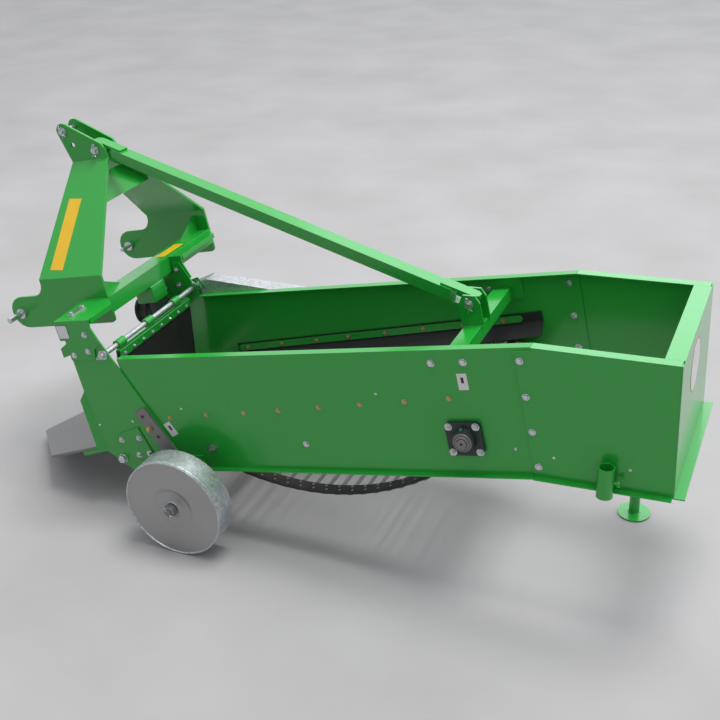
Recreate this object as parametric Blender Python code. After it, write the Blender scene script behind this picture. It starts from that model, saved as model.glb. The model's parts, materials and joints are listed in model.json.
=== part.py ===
"""Single-row elevator potato digger, carried on a tractor's three-point linkage.

Every solid is drawn in the machine's own frame: u runs forward along the tub, y to the left and v up,
square to the tub's floor line, with u = 0 at the seam between the main panels and the rear box and
v = 0 on the main panels' bottom edge.  The machine parks nose down on its two depth wheels and a stand,
so one empty turns that frame into the world, where +X is forward, +Y left and +Z up.
"""

import bmesh
import bpy
from math import asin, atan2, cos, hypot, pi, radians, sin
from mathutils import Matrix, Vector

# ---------------------------------------------------------------- driving dimensions, metres
GAP = 0.0003                 # running gap between separate pieces that touch
NOSE_DOWN = radians(11.5)    # how far the parked machine leans towards its share

TUB_WIDTH = 0.580            # outside of the two main panels
PANEL_THICKNESS = 0.004
PANEL_HEIGHT = 0.425
PANEL_LENGTH = 1.430         # seam to the front top corner
PANEL_TAIL = 0.054           # part of the main panel that runs on behind the seam
TOP_FLANGE = 0.030           # folded inwards along the top
FOOT_FLANGE = 0.020          # folded outwards along the bottom
FOOT_FLANGE_END = 1.165

REAR_DROP = radians(9.5)     # rear box bends down from the main panels
REAR_TOP_LENGTH = 0.425
REAR_RAIL = 0.055            # top flange of the rear plate
REAR_FOOT = 0.030

CHEEK_THICKNESS = 0.006
CHEEK_TOP = 0.558
CHEEK_CLEARANCE = 0.006      # between a cheek's upper edge and the crossbeam
CHEEK_FRONT = 1.617
WING_WIDTH = 0.035           # at its foot
WING_TOP_WIDTH = 0.025
WING_ANGLE = radians(40)

HEADSTOCK_Y = -0.254         # the A-frame stands off to the machine's right
HITCH_HALF_SPAN = 0.360      # from the A-frame's middle to the outside of a lug plate
LEG_THICKNESS = 0.010
LEG_REAR_SET = 0.420         # rear edge of the lug, behind the hitch pin
LEG_FRONT_SET = 0.133        # front corner of the lower fold, behind the hitch pin
HITCH_U, HITCH_V = 1.962, 0.545
LUG_NOSE_RADIUS = 0.062
LUG_NOSE_SETBACK = 0.012     # middle of the rounded nose, behind the hitch pin
MAST_HEIGHT = 0.586
MAST_SETBACK = 0.185
CROWN_RADIUS = 0.029
TOP_LUG_WIDTH = 0.082        # outside of the two top lugs
LOWER_FOLD_V = 0.670
UPPER_FOLD_V = 1.013
HITCH_PIN_RADIUS = 0.011
HITCH_PIN_REACH = 0.080      # beyond the lug plate
HITCH_THREAD = 0.062         # threaded end on the inside of the lug plate
TOP_PIN_RADIUS = 0.0095

TIE_DROP = 0.148             # lower edge of the plate between the legs, below the upper fold
TIE_HEIGHT = 0.092
TIE_SETBACK = 0.037

BEAM_DEPTH = 0.080
BEAM_HEIGHT = 0.060
BEAM_REAR = 1.542
BEAM_TOP = 0.584
GUSSET_LENGTH = 0.144
GUSSET_HEIGHT = 0.062

BRACKET_TOP = 0.582
BRACKET_REAR = 1.486
BRACKET_FRONT = 1.637
BRACKET_LIP = 0.018          # rear edge bent down
BRACKET_CORNER = 0.056       # chamfer beside the lug plate

BRACE_WIDTH = 0.050
BRACE_HEIGHT = 0.040
BRACE_PIN_RADIUS = 0.010
BRACE_REAR_U, BRACE_REAR_V = 0.210, 0.459
BRACE_FRONT_U, BRACE_FRONT_V = 1.656, 1.046
STRAP_THICKNESS = 0.008
STRAP_WIDTH = 0.040
STRAP_REACH = 0.110          # along the tube, from a pin
STRAP_OVERHANG = 0.024       # beyond a pin
BRACE_SETBACK = 0.068        # from a pin to the end of the tube
BRACE_CLEARANCE = 0.003      # between a sleeve and the lugs beside it

CROSSBAR_LENGTH = 0.060      # along the tub
CROSSBAR_HEIGHT = 0.040
CROSSBAR_TOP = 0.385
CROSSBAR_LUG = 0.008

ROD_U, ROD_V = 1.474, 0.447
ROD_RADIUS = 0.010
CURTAIN_DROP = 0.300
CURTAIN_WIDTH = 0.470
CURTAIN_THICKNESS = 0.006
HANGER_BACK = 0.008          # front face of the flat bar, behind the rod's axis
HANGER_THICKNESS = 0.006
HANGER_HEIGHT = 0.034

SHARE_HALF_WIDTH = 0.287
SHARE_REAR_U, SHARE_REAR_V = 1.600, 0.085
SHARE_CORNER_U = 1.896
SHARE_TIP_U = 2.186
SHARE_SLOPE = radians(10.6)
SHARE_THICKNESS = 0.010
SHARE_FRAME_LENGTH = 0.130

BELT_THICKNESS = 0.008
BELT_WIDTH = 0.050
BAR_SIZE = 0.013
BAR_PITCH = 0.050
BAR_LIFT = 0.0035            # middle of a bar, outside the middle of the belt
BAR_INSET = 0.006            # a bar's end, inside the belt's edge
WEB_CLEARANCE = 0.036        # between a main panel's inside and the web
WEB_SAG = 0.165
DRIVE_U, DRIVE_V = 0.197, 0.129
DRIVE_RADIUS = 0.060
DRIVE_SHAFT_RADIUS = 0.015
FRONT_ROLLER_U, FRONT_ROLLER_V = 1.541, 0.033
FRONT_ROLLER_RADIUS = 0.035
FRONT_AXLE = 0.012           # radii of the axles and of the carrier rollers
CARRIER_AXLE = 0.010
RETURN_AXLE = 0.008
CARRIER_RADIUS = 0.022
CARRIER_U = 1.139
RETURN_U, RETURN_V = 1.213, -0.012
RETURN_RADIUS = 0.025
BEARING_HALF = 0.057         # half of the flange's width
BEARING_PLATE = 0.014
BEARING_DEPTH = 0.034

SEAL_THICKNESS = 0.006
SEAL_REAR_U, SEAL_REAR_V = 0.090, 0.272
SEAL_FRONT_U, SEAL_FRONT_V = 1.330, 0.193
SEAL_LAP = 0.014             # how far a lip reaches over the web
SEAL_CLEARANCE = 0.0050      # from the bars to the upper face of a lip
CLAMP_HEIGHT = 0.025
CLAMP_THICKNESS = 0.005

WHEEL_RADIUS = 0.185
WHEEL_WIDTH = 0.090
WHEEL_U, WHEEL_V = 1.250, -0.065
WHEEL_STANDOFF = 0.080       # between a cheek's outside and the wheel beside it
WHEEL_SHELL = 0.005
AXLE_RADIUS = 0.015
STUB_END = 0.027             # the stub axle's end, beyond the wheel
ARM_WIDTH = 0.050
ARM_THICKNESS = 0.010
ARM_TOP_U, ARM_TOP_V = 1.394, 0.232

SOCKET_RADIUS = 0.025
SOCKET_WALL = 0.004
SOCKET_LENGTH = 0.100
SOCKET_U, SOCKET_V = -0.220, 0.002     # middle of the socket
STAND_RADIUS = 0.0185
STAND_WALL = 0.0030
STAND_ABOVE = 0.060
FOOT_RADIUS = 0.058
FOOT_THICKNESS = 0.006

GUARD_WIDTH = 0.068
GUARD_WALL = 0.003
GUARD_FRONT_U, GUARD_FRONT_V, GUARD_FRONT_RADIUS = 1.398, 0.446, 0.036
GUARD_REAR_RADIUS = 0.095
SHAFT_RADIUS = 0.016
GEARBOX_Y = -0.195
GEARBOX_WIDTH = 0.124
GEARBOX_LOW = 0.345
GEARBOX_LENGTH = 0.100       # of the part under the crossbeam
GEARBOX_FRONT = 1.620
GEARBOX_SHELF = 0.466        # underside of the part that reaches over the input
GEARBOX_CORNER = 0.012
OUTPUT_U, OUTPUT_V = 1.548, 0.405      # axis of the shaft from the gearbox to the side chain
SHAFT_CLEARANCE = 0.003      # round that shaft, where it passes a sheet
INPUT_U = 1.575              # the face that the input shaft leaves
INPUT_V = 0.410
STUB_LENGTH = 0.080
POWER_GUARD_LENGTH = 0.105

# ---------------------------------------------------------------- worked out from them
SIDE = TUB_WIDTH / 2                        # outer face of a main panel
INNER = SIDE - PANEL_THICKNESS
WEB_HALF = INNER - WEB_CLEARANCE
CHEEK_IN = SIDE + GAP
CHEEK_OUT = CHEEK_IN + CHEEK_THICKNESS
REAR_IN = SIDE + GAP                        # the rear box laps outside the main panels
REAR_OUT = REAR_IN + PANEL_THICKNESS
WHEEL_OUTER_Y = CHEEK_OUT + WHEEL_STANDOFF + WHEEL_WIDTH
LUG_OUT = HITCH_HALF_SPAN                   # in the A-frame, whose middle is HEADSTOCK_Y
LUG_IN = LUG_OUT - LEG_THICKNESS
BEAM_LOW = BEAM_TOP - BEAM_HEIGHT
TOP_OUT = TOP_LUG_WIDTH / 2
TOP_IN = TOP_OUT - LEG_THICKNESS
TOP_LINK_U = HITCH_U - MAST_SETBACK
TOP_LINK_V = HITCH_V + MAST_HEIGHT


def rear_point(along, down):
    """A point of the rear box: along its top edge from the fold, and down square to it."""
    u = -PANEL_TAIL - along * cos(REAR_DROP) + down * sin(REAR_DROP)
    v = PANEL_HEIGHT - along * sin(REAR_DROP) - down * cos(REAR_DROP)
    return u, v


SHARE_TIP_V = SHARE_REAR_V - (SHARE_TIP_U - SHARE_REAR_U) * sin(SHARE_SLOPE) / cos(SHARE_SLOPE)
REAR_TOP = rear_point(REAR_TOP_LENGTH, 0)
REAR_BOTTOM = rear_point(REAR_TOP_LENGTH, PANEL_HEIGHT)


def lean(u, v):
    """The machine frame's u and v, turned nose down."""
    return u * cos(NOSE_DOWN) + v * sin(NOSE_DOWN), v * cos(NOSE_DOWN) - u * sin(NOSE_DOWN)


FRONT_X = lean(SHARE_TIP_U, SHARE_TIP_V)[0]
REAR_X = lean(*REAR_BOTTOM)[0] - REAR_FOOT
MACHINE_X = -(FRONT_X + REAR_X) / 2
MACHINE_Y = -(WHEEL_OUTER_Y + STUB_END + HEADSTOCK_Y - LUG_OUT - HITCH_PIN_REACH) / 2
MACHINE_Z = WHEEL_RADIUS - lean(WHEEL_U, WHEEL_V)[1]

FINISHES = {                 # colour, roughness, metallic
    "green_paint": ((0.04, 0.38, 0.06), 0.35, 0.0),
    "zinc": ((0.62, 0.64, 0.66), 0.35, 1.0),
    "bare_steel": ((0.36, 0.36, 0.36), 0.45, 1.0),
    "black_rubber": ((0.02, 0.02, 0.02), 0.75, 0.0),
    "cast_iron": ((0.05, 0.07, 0.06), 0.5, 0.6),
    "black_plastic": ((0.015, 0.015, 0.015), 0.5, 0.0),
}


# ---------------------------------------------------------------- making shapes
def new_object(name, bm):
    bmesh.ops.recalc_face_normals(bm, faces=bm.faces)
    mesh = bpy.data.meshes.new(name)
    bm.to_mesh(mesh)
    bm.free()
    obj = bpy.data.objects.new(name, mesh)
    bpy.context.scene.collection.objects.link(obj)
    return obj


def prism(outline, y0, y1, name="prism"):
    """A flat plate: an outline of (u, v) points, extruded from y0 to y1."""
    bm = bmesh.new()
    rings = [[bm.verts.new((u, y, v)) for u, v in outline] for y in (y0, y1)]
    for ring in rings:
        bm.faces.new(ring)
    for i in range(len(outline)):
        j = (i + 1) % len(outline)
        bm.faces.new((rings[0][i], rings[0][j], rings[1][j], rings[1][i]))
    return new_object(name, bm)


def box(u0, u1, y0, y1, v0, v1, name="box"):
    return prism([(u0, v0), (u1, v0), (u1, v1), (u0, v1)], y0, y1, name)


def hexahedron(low, high, name="hexahedron"):
    """A block between two four-cornered faces."""
    bm = bmesh.new()
    rings = [[bm.verts.new(p) for p in ring] for ring in (low, high)]
    for ring in rings:
        bm.faces.new(ring)
    for i in range(4):
        j = (i + 1) % 4
        bm.faces.new((rings[0][i], rings[0][j], rings[1][j], rings[1][i]))
    return new_object(name, bm)


def turned(profile, centre, axis=(0, 1, 0), segments=32, name="turned"):
    """A shape of revolution from (radius, along) points; it closes on itself if no end is on the axis."""
    bm = bmesh.new()
    turn = Vector((0, 0, 1)).rotation_difference(Vector(axis)).to_matrix()
    rings = []
    for radius, along in profile:
        count = 1 if radius == 0 else segments
        ring = []
        for k in range(count):
            a = 2 * pi * k / segments
            ring.append(bm.verts.new(turn @ Vector((radius * cos(a), radius * sin(a), along)) + Vector(centre)))
        rings.append(ring)
    pairs = list(zip(rings, rings[1:]))
    if profile[0][0] > 0 and profile[-1][0] > 0:
        pairs.append((rings[-1], rings[0]))
    for a, b in pairs:
        for k in range(segments):
            n = (k + 1) % segments
            corners = [a[k % len(a)], a[n % len(a)], b[n % len(b)], b[k % len(b)]]
            bm.faces.new(list(dict.fromkeys(corners)))
    return new_object(name, bm)


def rod(u, v, radius, y0, y1, segments=24, name="rod"):
    """A round bar across the machine."""
    return turned([(0, y0), (radius, y0), (radius, y1), (0, y1)], (u, 0, v), segments=segments, name=name)


def sheet(facets, thickness, name="sheet"):
    """Folded sheet metal.  Each facet is (corners, outward); the metal lies behind the facets."""
    bm = bmesh.new()
    for corners, outward in facets:
        verts = [bm.verts.new(p) for p in corners]
        face = bm.faces.new(verts)
        face.normal_update()
        if face.normal.dot(Vector(outward)) < 0:
            face.normal_flip()
    bmesh.ops.remove_doubles(bm, verts=bm.verts, dist=1e-6)
    mesh = bpy.data.meshes.new(name)
    bm.to_mesh(mesh)
    bm.free()
    obj = bpy.data.objects.new(name, mesh)
    bpy.context.scene.collection.objects.link(obj)
    solid = obj.modifiers.new("thickness", "SOLIDIFY")
    solid.thickness = thickness
    solid.offset = -1
    solid.solidify_mode = "NON_MANIFOLD"
    solid.nonmanifold_thickness_mode = "CONSTRAINTS"
    return bake(obj)


def bake(obj):
    """Puts an object's modifiers into its mesh."""
    bpy.context.view_layer.update()
    shaped = obj.evaluated_get(bpy.context.evaluated_depsgraph_get())
    mesh = bpy.data.meshes.new_from_object(shaped)
    obj.modifiers.clear()
    obj.data = mesh
    return obj


def combine(obj, others, operation):
    for other in others:
        step = obj.modifiers.new(operation.lower(), "BOOLEAN")
        step.operation = operation
        step.solver = "EXACT"
        step.object = other
    bake(obj)
    for other in others:
        bpy.data.objects.remove(other, do_unlink=True)
    return obj


def fuse(obj, *others):
    return combine(obj, others, "UNION")


def cut(obj, *others):
    return combine(obj, others, "DIFFERENCE")


def arc(centre, radius, start, end, steps):
    """Points on an arc, from one angle to another in radians."""
    angles = [start + (end - start) * k / steps for k in range(steps + 1)]
    return [(centre[0] + radius * cos(a), centre[1] + radius * sin(a)) for a in angles]


def round_end_strip(a, b, width, steps=8):
    """The outline of a strip with round ends between two points."""
    along = atan2(b[1] - a[1], b[0] - a[0])
    return arc(b, width / 2, along - pi / 2, along + pi / 2, steps) + arc(
        a, width / 2, along + pi / 2, along + 3 * pi / 2, steps)


def belt_hull(a, ra, b, rb, steps=12):
    """The outline round two circles, as a chain guard has."""
    along = atan2(b[1] - a[1], b[0] - a[0])
    lift = asin((ra - rb) / hypot(b[0] - a[0], b[1] - a[1]))
    side = pi / 2 - lift
    return arc(b, rb, along - side, along + side, steps) + arc(a, ra, along + side, along + 2 * pi - side, steps)


def finish(obj, name, surface, machine, smooth=False, pivot=None):
    """Names a piece, paints it, sets its origin and hangs it in the machine's frame."""
    obj.name = name
    obj.data.name = name
    colour, roughness, metallic = FINISHES[surface]
    material = bpy.data.materials.new(name)
    material.use_nodes = True
    shader = material.node_tree.nodes["Principled BSDF"]
    shader.inputs["Base Color"].default_value = (*colour, 1)
    shader.inputs["Roughness"].default_value = roughness
    shader.inputs["Metallic"].default_value = metallic
    obj.data.materials.clear()
    obj.data.materials.append(material)
    if smooth:
        obj.data.shade_smooth()
        obj.data.set_sharp_from_angle(angle=radians(35))
    if pivot:
        obj.data.transform(Matrix.Translation(-Vector(pivot)))
        obj.location = pivot
    obj.parent = machine
    return obj


# ---------------------------------------------------------------- tub
def main_panel(side):
    """Long side panel, with its top folded in and its foot folded out."""
    y = side * SIDE
    inward, outward = side * (SIDE - TOP_FLANGE), side * (SIDE + FOOT_FLANGE)
    rear, front, low_front = -PANEL_TAIL, PANEL_LENGTH, PANEL_LENGTH - 0.030
    facets = [
        ([(rear, y, 0), (FOOT_FLANGE_END, y, 0), (low_front, y, 0), (front, y, PANEL_HEIGHT),
          (rear, y, PANEL_HEIGHT)], (0, side, 0)),
        ([(rear, y, PANEL_HEIGHT), (front, y, PANEL_HEIGHT), (front, inward, PANEL_HEIGHT),
          (rear, inward, PANEL_HEIGHT)], (0, 0, 1)),
        ([(GAP, y, 0), (FOOT_FLANGE_END, y, 0), (FOOT_FLANGE_END, outward, 0), (GAP, outward, 0)], (0, 0, 1)),
    ]
    facets[0][0].insert(1, (GAP, y, 0))
    panel = sheet(facets, PANEL_THICKNESS)
    reach = SIDE + FOOT_FLANGE
    return cut(
        panel,
        rod(DRIVE_U, DRIVE_V, DRIVE_SHAFT_RADIUS + GAP, side * (INNER - 0.05), side * reach),
        rod(CARRIER_U, carrier_v(), CARRIER_AXLE + GAP, side * (INNER - 0.05), side * reach),
    )


def rear_side(side):
    """Side of the rear box; it laps outside the tail of the main panel."""
    y, rail = side * REAR_OUT, side * (SIDE - TOP_FLANGE)
    start = -PANEL_TAIL - 0.0012
    top_front = (start, PANEL_HEIGHT + (start + PANEL_TAIL) * sin(REAR_DROP))
    tail = rear_point(REAR_TOP_LENGTH - PANEL_THICKNESS - GAP, 0)
    tail_low = rear_point(REAR_TOP_LENGTH - PANEL_THICKNESS - GAP, PANEL_HEIGHT)
    under_flange = PANEL_HEIGHT - 0.010
    seam = -0.001
    web = [(seam, 0), (seam, under_flange), (start, under_flange), top_front, tail, tail_low]
    foot = REAR_OUT + FOOT_FLANGE
    facets = [
        ([(u, y, v) for u, v in web], (0, side, 0)),
        ([(top_front[0], y, top_front[1]), (tail[0], y, tail[1]), (tail[0], rail, tail[1]),
          (top_front[0], rail, top_front[1])], (0, 0, 1)),
        ([(seam, y, 0), (tail_low[0], y, tail_low[1]), (tail_low[0], side * foot, tail_low[1]),
          (seam, side * foot, 0)], (0, 0, 1)),
    ]
    panel = sheet(facets, PANEL_THICKNESS)
    return cut(panel, socket_space(side))


def rear_plate():
    """End plate of the tub, with a wide rail folded in at the top and a foot folded out."""
    half = REAR_OUT
    top, low = REAR_TOP, REAR_BOTTOM
    rail = rear_point(REAR_TOP_LENGTH - REAR_RAIL, 0)
    foot = (low[0] - REAR_FOOT * cos(REAR_DROP), low[1] - REAR_FOOT * sin(REAR_DROP))
    inside = SIDE - TOP_FLANGE - GAP
    back = (-cos(REAR_DROP), 0, -sin(REAR_DROP))
    facets = [
        ([(top[0], -half, top[1]), (top[0], -inside, top[1]), (top[0], inside, top[1]), (top[0], half, top[1]),
          (low[0], half, low[1]), (low[0], -half, low[1])], back),
        ([(top[0], -inside, top[1]), (top[0], inside, top[1]), (rail[0], inside, rail[1]),
          (rail[0], -inside, rail[1])], (0, 0, 1)),
        ([(low[0], -half, low[1]), (low[0], half, low[1]), (foot[0], half, foot[1]), (foot[0], -half, foot[1])],
         (0, 0, 1)),
    ]
    return sheet(facets, PANEL_THICKNESS)


# ---------------------------------------------------------------- cheeks and share
CHEEK_OUTLINE = [            # u, v from the wing's upper corner round the plate
    (CHEEK_FRONT, 0.306), (CHEEK_FRONT, 0.450), (CHEEK_FRONT + 0.037, 0.440), (CHEEK_FRONT + 0.037, 0.475),
    (CHEEK_FRONT - 0.007, BEAM_LOW - 0.024), (CHEEK_FRONT - 0.010, BEAM_LOW - CHEEK_CLEARANCE),
    (BEAM_REAR - CHEEK_CLEARANCE, BEAM_LOW - CHEEK_CLEARANCE), (BEAM_REAR - CHEEK_CLEARANCE, CHEEK_TOP),
    (1.500, CHEEK_TOP), (1.445, 0.430), (1.363, 0.238), (1.285, 0.055), (1.300, -0.008), (1.410, -0.040),
    (1.511, -0.018),
    (CHEEK_FRONT - 0.016, 0.059),
]


def cheek(side):
    """Side plate between the headstock and the tub, with a wing bent out along its front edge."""
    y = side * CHEEK_OUT
    out, top_out = [y + side * width * sin(WING_ANGLE) for width in (WING_WIDTH, WING_TOP_WIDTH)]
    ahead, top_ahead = [width * cos(WING_ANGLE) for width in (WING_WIDTH, WING_TOP_WIDTH)]
    (top_u, top_v), (low_u, low_v) = CHEEK_OUTLINE[0], CHEEK_OUTLINE[-1]
    size = hypot(low_u - top_u, low_v - top_v)
    down = (0.030 * (low_u - top_u) / size, 0.030 * (low_v - top_v) / size)
    wing = [(top_u, y, top_v), (low_u, y, low_v),
            (low_u + ahead - down[0] / 2, out, low_v - down[1] / 2),
            (top_u + top_ahead + down[0], top_out, top_v + down[1])]
    plate = sheet(
        [([(u, y, v) for u, v in CHEEK_OUTLINE], (0, side, 0)), (wing, (-sin(WING_ANGLE), side, 0))],
        CHEEK_THICKNESS)
    inside, outside = side * (CHEEK_IN - 0.05), side * (CHEEK_OUT + 0.05)
    holes = [rod(ROD_U, ROD_V, ROD_RADIUS + GAP, inside, outside),
             rod(FRONT_ROLLER_U, FRONT_ROLLER_V, FRONT_AXLE + GAP, inside, outside)]
    if side < 0:
        holes.append(rod(OUTPUT_U, OUTPUT_V, SHAFT_RADIUS + SHAFT_CLEARANCE, inside, outside))
    return cut(plate, *holes)


def share_height(u):
    return SHARE_REAR_V - (u - SHARE_REAR_U) * sin(SHARE_SLOPE) / cos(SHARE_SLOPE)


def share():
    """Pointed digging blade between the cheeks, its upper face sloping up to the web."""
    plan = [(SHARE_REAR_U, -SHARE_HALF_WIDTH), (SHARE_CORNER_U, -SHARE_HALF_WIDTH), (SHARE_TIP_U, 0),
            (SHARE_CORNER_U, SHARE_HALF_WIDTH), (SHARE_REAR_U, SHARE_HALF_WIDTH)]
    face = [(u, y, share_height(u)) for u, y in plan]
    return sheet([(face, (0, 0, 1))], SHARE_THICKNESS)


def share_frame():
    """Two bars under the share's ends and a cross bar, welded to the cheeks."""
    depth, bar = 0.016, 0.030
    under = SHARE_THICKNESS / cos(SHARE_SLOPE) + GAP
    rear, front = SHARE_REAR_U, SHARE_REAR_U + SHARE_FRAME_LENGTH
    edge = CHEEK_IN - GAP

    def strip(u0, u1, y0, y1, sunk=0.0):
        top0, top1 = share_height(u0) - under - sunk, share_height(u1) - under - sunk
        return prism([(u0, top0 - depth), (u1, top1 - depth), (u1, top1), (u0, top0)], y0, y1)

    frame = strip(rear + 0.055, rear + 0.110, bar / 2 - edge, edge - bar / 2, 0.001)
    return fuse(frame, strip(rear, front, edge - bar, edge), strip(rear, front, -edge, bar - edge))


# ---------------------------------------------------------------- headstock
def stood_off(obj):
    """A piece drawn about the A-frame's middle, moved to its place across the machine."""
    obj.data.transform(Matrix.Translation((0, HEADSTOCK_Y, 0)))
    return obj


def headstock_leg(side):
    """One side of the A-frame: top lug, sloping leg and lower lug plate, folded from one thick sheet."""
    low, high = side * LUG_OUT, side * TOP_OUT
    rear, front_top, foot_v = HITCH_U - LEG_REAR_SET, HITCH_U - LEG_FRONT_SET, HITCH_V - LUG_NOSE_RADIUS + 0.004
    nose = (HITCH_U - LUG_NOSE_SETBACK, HITCH_V)
    hollow = (front_top + 0.052, nose[1] + LUG_NOSE_RADIUS + 0.052)
    lug = [(front_top, LOWER_FOLD_V)] + arc(hollow, 0.052, pi, 1.45 * pi, 6)
    lug += arc(nose, LUG_NOSE_RADIUS, radians(95), radians(-90), 10)
    lug += arc((rear + 0.016, foot_v + 0.016), 0.016, radians(-90), radians(-180), 3)
    lug.append((rear, LOWER_FOLD_V))
    crown_rear = BRACE_FRONT_U - 0.046
    crown = arc((TOP_LINK_U, TOP_LINK_V), CROWN_RADIUS, radians(-25), radians(118), 7)
    crown += [(BRACE_FRONT_U - 0.031, BRACE_FRONT_V + 0.021), (BRACE_FRONT_U - 0.042, BRACE_FRONT_V - 0.004),
              (crown_rear, UPPER_FOLD_V), (TOP_LINK_U, UPPER_FOLD_V)]
    leg = [(rear, low, LOWER_FOLD_V), (front_top, low, LOWER_FOLD_V),
           (TOP_LINK_U, high, UPPER_FOLD_V), (crown_rear, high, UPPER_FOLD_V)]
    drop, rise = LUG_OUT - TOP_OUT, UPPER_FOLD_V - LOWER_FOLD_V
    plate = sheet(
        [([(u, low, v) for u, v in lug], (0, side, 0)), (leg, (0, side * rise, drop)),
         ([(u, high, v) for u, v in crown], (0, side, 0))], LEG_THICKNESS)
    holes = [(HITCH_U, HITCH_V, HITCH_PIN_RADIUS, low), (TOP_LINK_U, TOP_LINK_V, TOP_PIN_RADIUS, high),
             (TOP_LINK_U - 0.025, TOP_LINK_V - 0.055, TOP_PIN_RADIUS, high),
             (BRACE_FRONT_U, BRACE_FRONT_V, BRACE_PIN_RADIUS, high)]
    return stood_off(cut(plate, *[rod(u, v, r + GAP, y - 0.02, y + 0.02) for u, v, r, y in holes]))


def leg_inner_y(v):
    """Inner face of a sloping leg at height v, from the A-frame's middle."""
    drop, rise = LUG_OUT - TOP_OUT, UPPER_FOLD_V - LOWER_FOLD_V
    across = LEG_THICKNESS * hypot(drop, rise) / rise
    return TOP_OUT + (UPPER_FOLD_V - v) * drop / rise - across


def leg_tie():
    """Sloping plate that ties the two legs together below the top lugs."""
    low_u, high_u, thick = BRACE_FRONT_U - TIE_SETBACK, BRACE_FRONT_U + 0.004, 0.008
    low_v, high_v = UPPER_FOLD_V - TIE_DROP, UPPER_FOLD_V - TIE_DROP + TIE_HEIGHT
    rings = []
    for shift in (0, thick):
        ring = []
        for u, v, sign in ((low_u, low_v, -1), (low_u, low_v, 1), (high_u, high_v, 1), (high_u, high_v, -1)):
            v_here = v - shift * 0.4
            ring.append((u + shift, sign * (leg_inner_y(v_here) - GAP), v_here))
        rings.append(ring)
    return stood_off(hexahedron(*rings))


def crossbeam():
    """Square tube between the lower lug plates, with a gusset on top at each end."""
    end = LUG_IN - GAP
    beam = box(BEAM_REAR, BEAM_REAR + BEAM_DEPTH, -end, end, BEAM_LOW, BEAM_TOP)
    middle, thick, sunk, tip_width = BEAM_REAR + 0.7 * BEAM_DEPTH, 0.006, 0.002, 0.008
    gussets = []
    for side in (-1, 1):
        toe, tip = side * (end - GUSSET_LENGTH), side * end
        corners = [(toe, BEAM_TOP - sunk), (tip, BEAM_TOP - sunk), (tip, BEAM_TOP + GUSSET_HEIGHT),
                   (tip - side * tip_width, BEAM_TOP + GUSSET_HEIGHT)]
        rings = [[(u, y, v) for y, v in corners] for u in (middle - thick / 2, middle + thick / 2)]
        gussets.append(hexahedron(*rings))
    return stood_off(fuse(beam, *gussets))


def beam_bracket(side):
    """Folded bracket from a lug plate to a cheek: a plate with its rear edge bent down, and an ear.

    The left one lies outside its lug plate.  The right one fills the corner between the beam's rear face
    and the inside of the other lug plate, and its ear is cut away under the beam.
    """
    ear_y = CHEEK_OUT + GAP + CHEEK_THICKNESS if side > 0 else -CHEEK_OUT - GAP
    lug_y = HEADSTOCK_Y + (LUG_OUT + GAP if side > 0 else GAP - LUG_IN)
    lug_rear = HITCH_U - LEG_REAR_SET
    rear, front, top = BRACKET_REAR, BRACKET_FRONT, BRACKET_TOP
    towards = 1 if lug_y > ear_y else -1
    corner_y = lug_y - towards * BRACKET_CORNER
    lip_y = ear_y + towards * 0.012
    lip = [(rear, lip_y, top), (rear, corner_y, top), (rear, corner_y, top - BRACKET_LIP),
           (rear, lip_y, top - BRACKET_LIP)]
    if side > 0:
        plate = [(rear, lip_y, top), (rear, corner_y, top), (lug_rear, lug_y, top), (front + 0.013, lug_y, top),
                 (front, ear_y, top), (rear, ear_y, top)]
        ear = [(front, ear_y, top), (rear, ear_y, top), (rear + 0.002, ear_y, 0.553), (1.466, ear_y, 0.492),
               (1.500, ear_y, 0.470), (1.510, ear_y, 0.432), (1.615, ear_y, 0.432), (1.615, ear_y, 0.508),
               (front, ear_y, 0.508)]
    else:
        stop = BEAM_REAR - GAP
        plate = [(rear, lip_y, top), (rear, corner_y, top), (stop - GAP, lug_y, top), (stop, lug_y, top),
                 (stop, ear_y, top), (rear, ear_y, top)]
        ear = [(stop, ear_y, top), (rear, ear_y, top), (rear + 0.002, ear_y, 0.553), (1.466, ear_y, 0.492),
               (1.500, ear_y, 0.470), (1.510, ear_y, 0.432), (1.615, ear_y, 0.432),
               (1.615, ear_y, BEAM_LOW - GAP), (stop, ear_y, BEAM_LOW - GAP)]
    return sheet([(plate, (0, 0, 1)), (ear, (0, 1, 0)), (lip, (-1, 0, 0))], CHEEK_THICKNESS)


def hitch_pin(side):
    """Lower hitch pin: shank, collar against the outside of the lug plate, nut and threaded end inside."""
    r, face, nut = HITCH_PIN_RADIUS, LUG_OUT + GAP, LUG_IN - 0.014 - GAP
    end = LUG_OUT + HITCH_PIN_REACH
    profile = [(0, LUG_IN - HITCH_THREAD), (r * 0.7, LUG_IN - HITCH_THREAD), (r * 0.7, nut), (r * 1.75, nut),
               (r * 1.75, LUG_IN - GAP), (r, LUG_IN - GAP), (r, face), (r * 1.8, face), (r * 1.8, face + 0.012),
               (r, face + 0.012), (r, end - 0.003), (r - 0.003, end), (0, end)]
    return stood_off(turned([(radius, side * along) for radius, along in profile], (HITCH_U, 0, HITCH_V)))


def cross_pin(u, v, radius, half, head):
    """A pin across the machine, with a head on its right end and a washer on its left."""
    profile = [(0, -half - 0.010), (head, -half - 0.010), (head, -half - GAP), (radius, -half - GAP),
               (radius, half + GAP), (head, half + GAP), (head, half + 0.004), (radius, half + 0.004),
               (radius, half + 0.016), (0, half + 0.016)]
    return turned(profile, (u, 0, v), segments=20)


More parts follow.
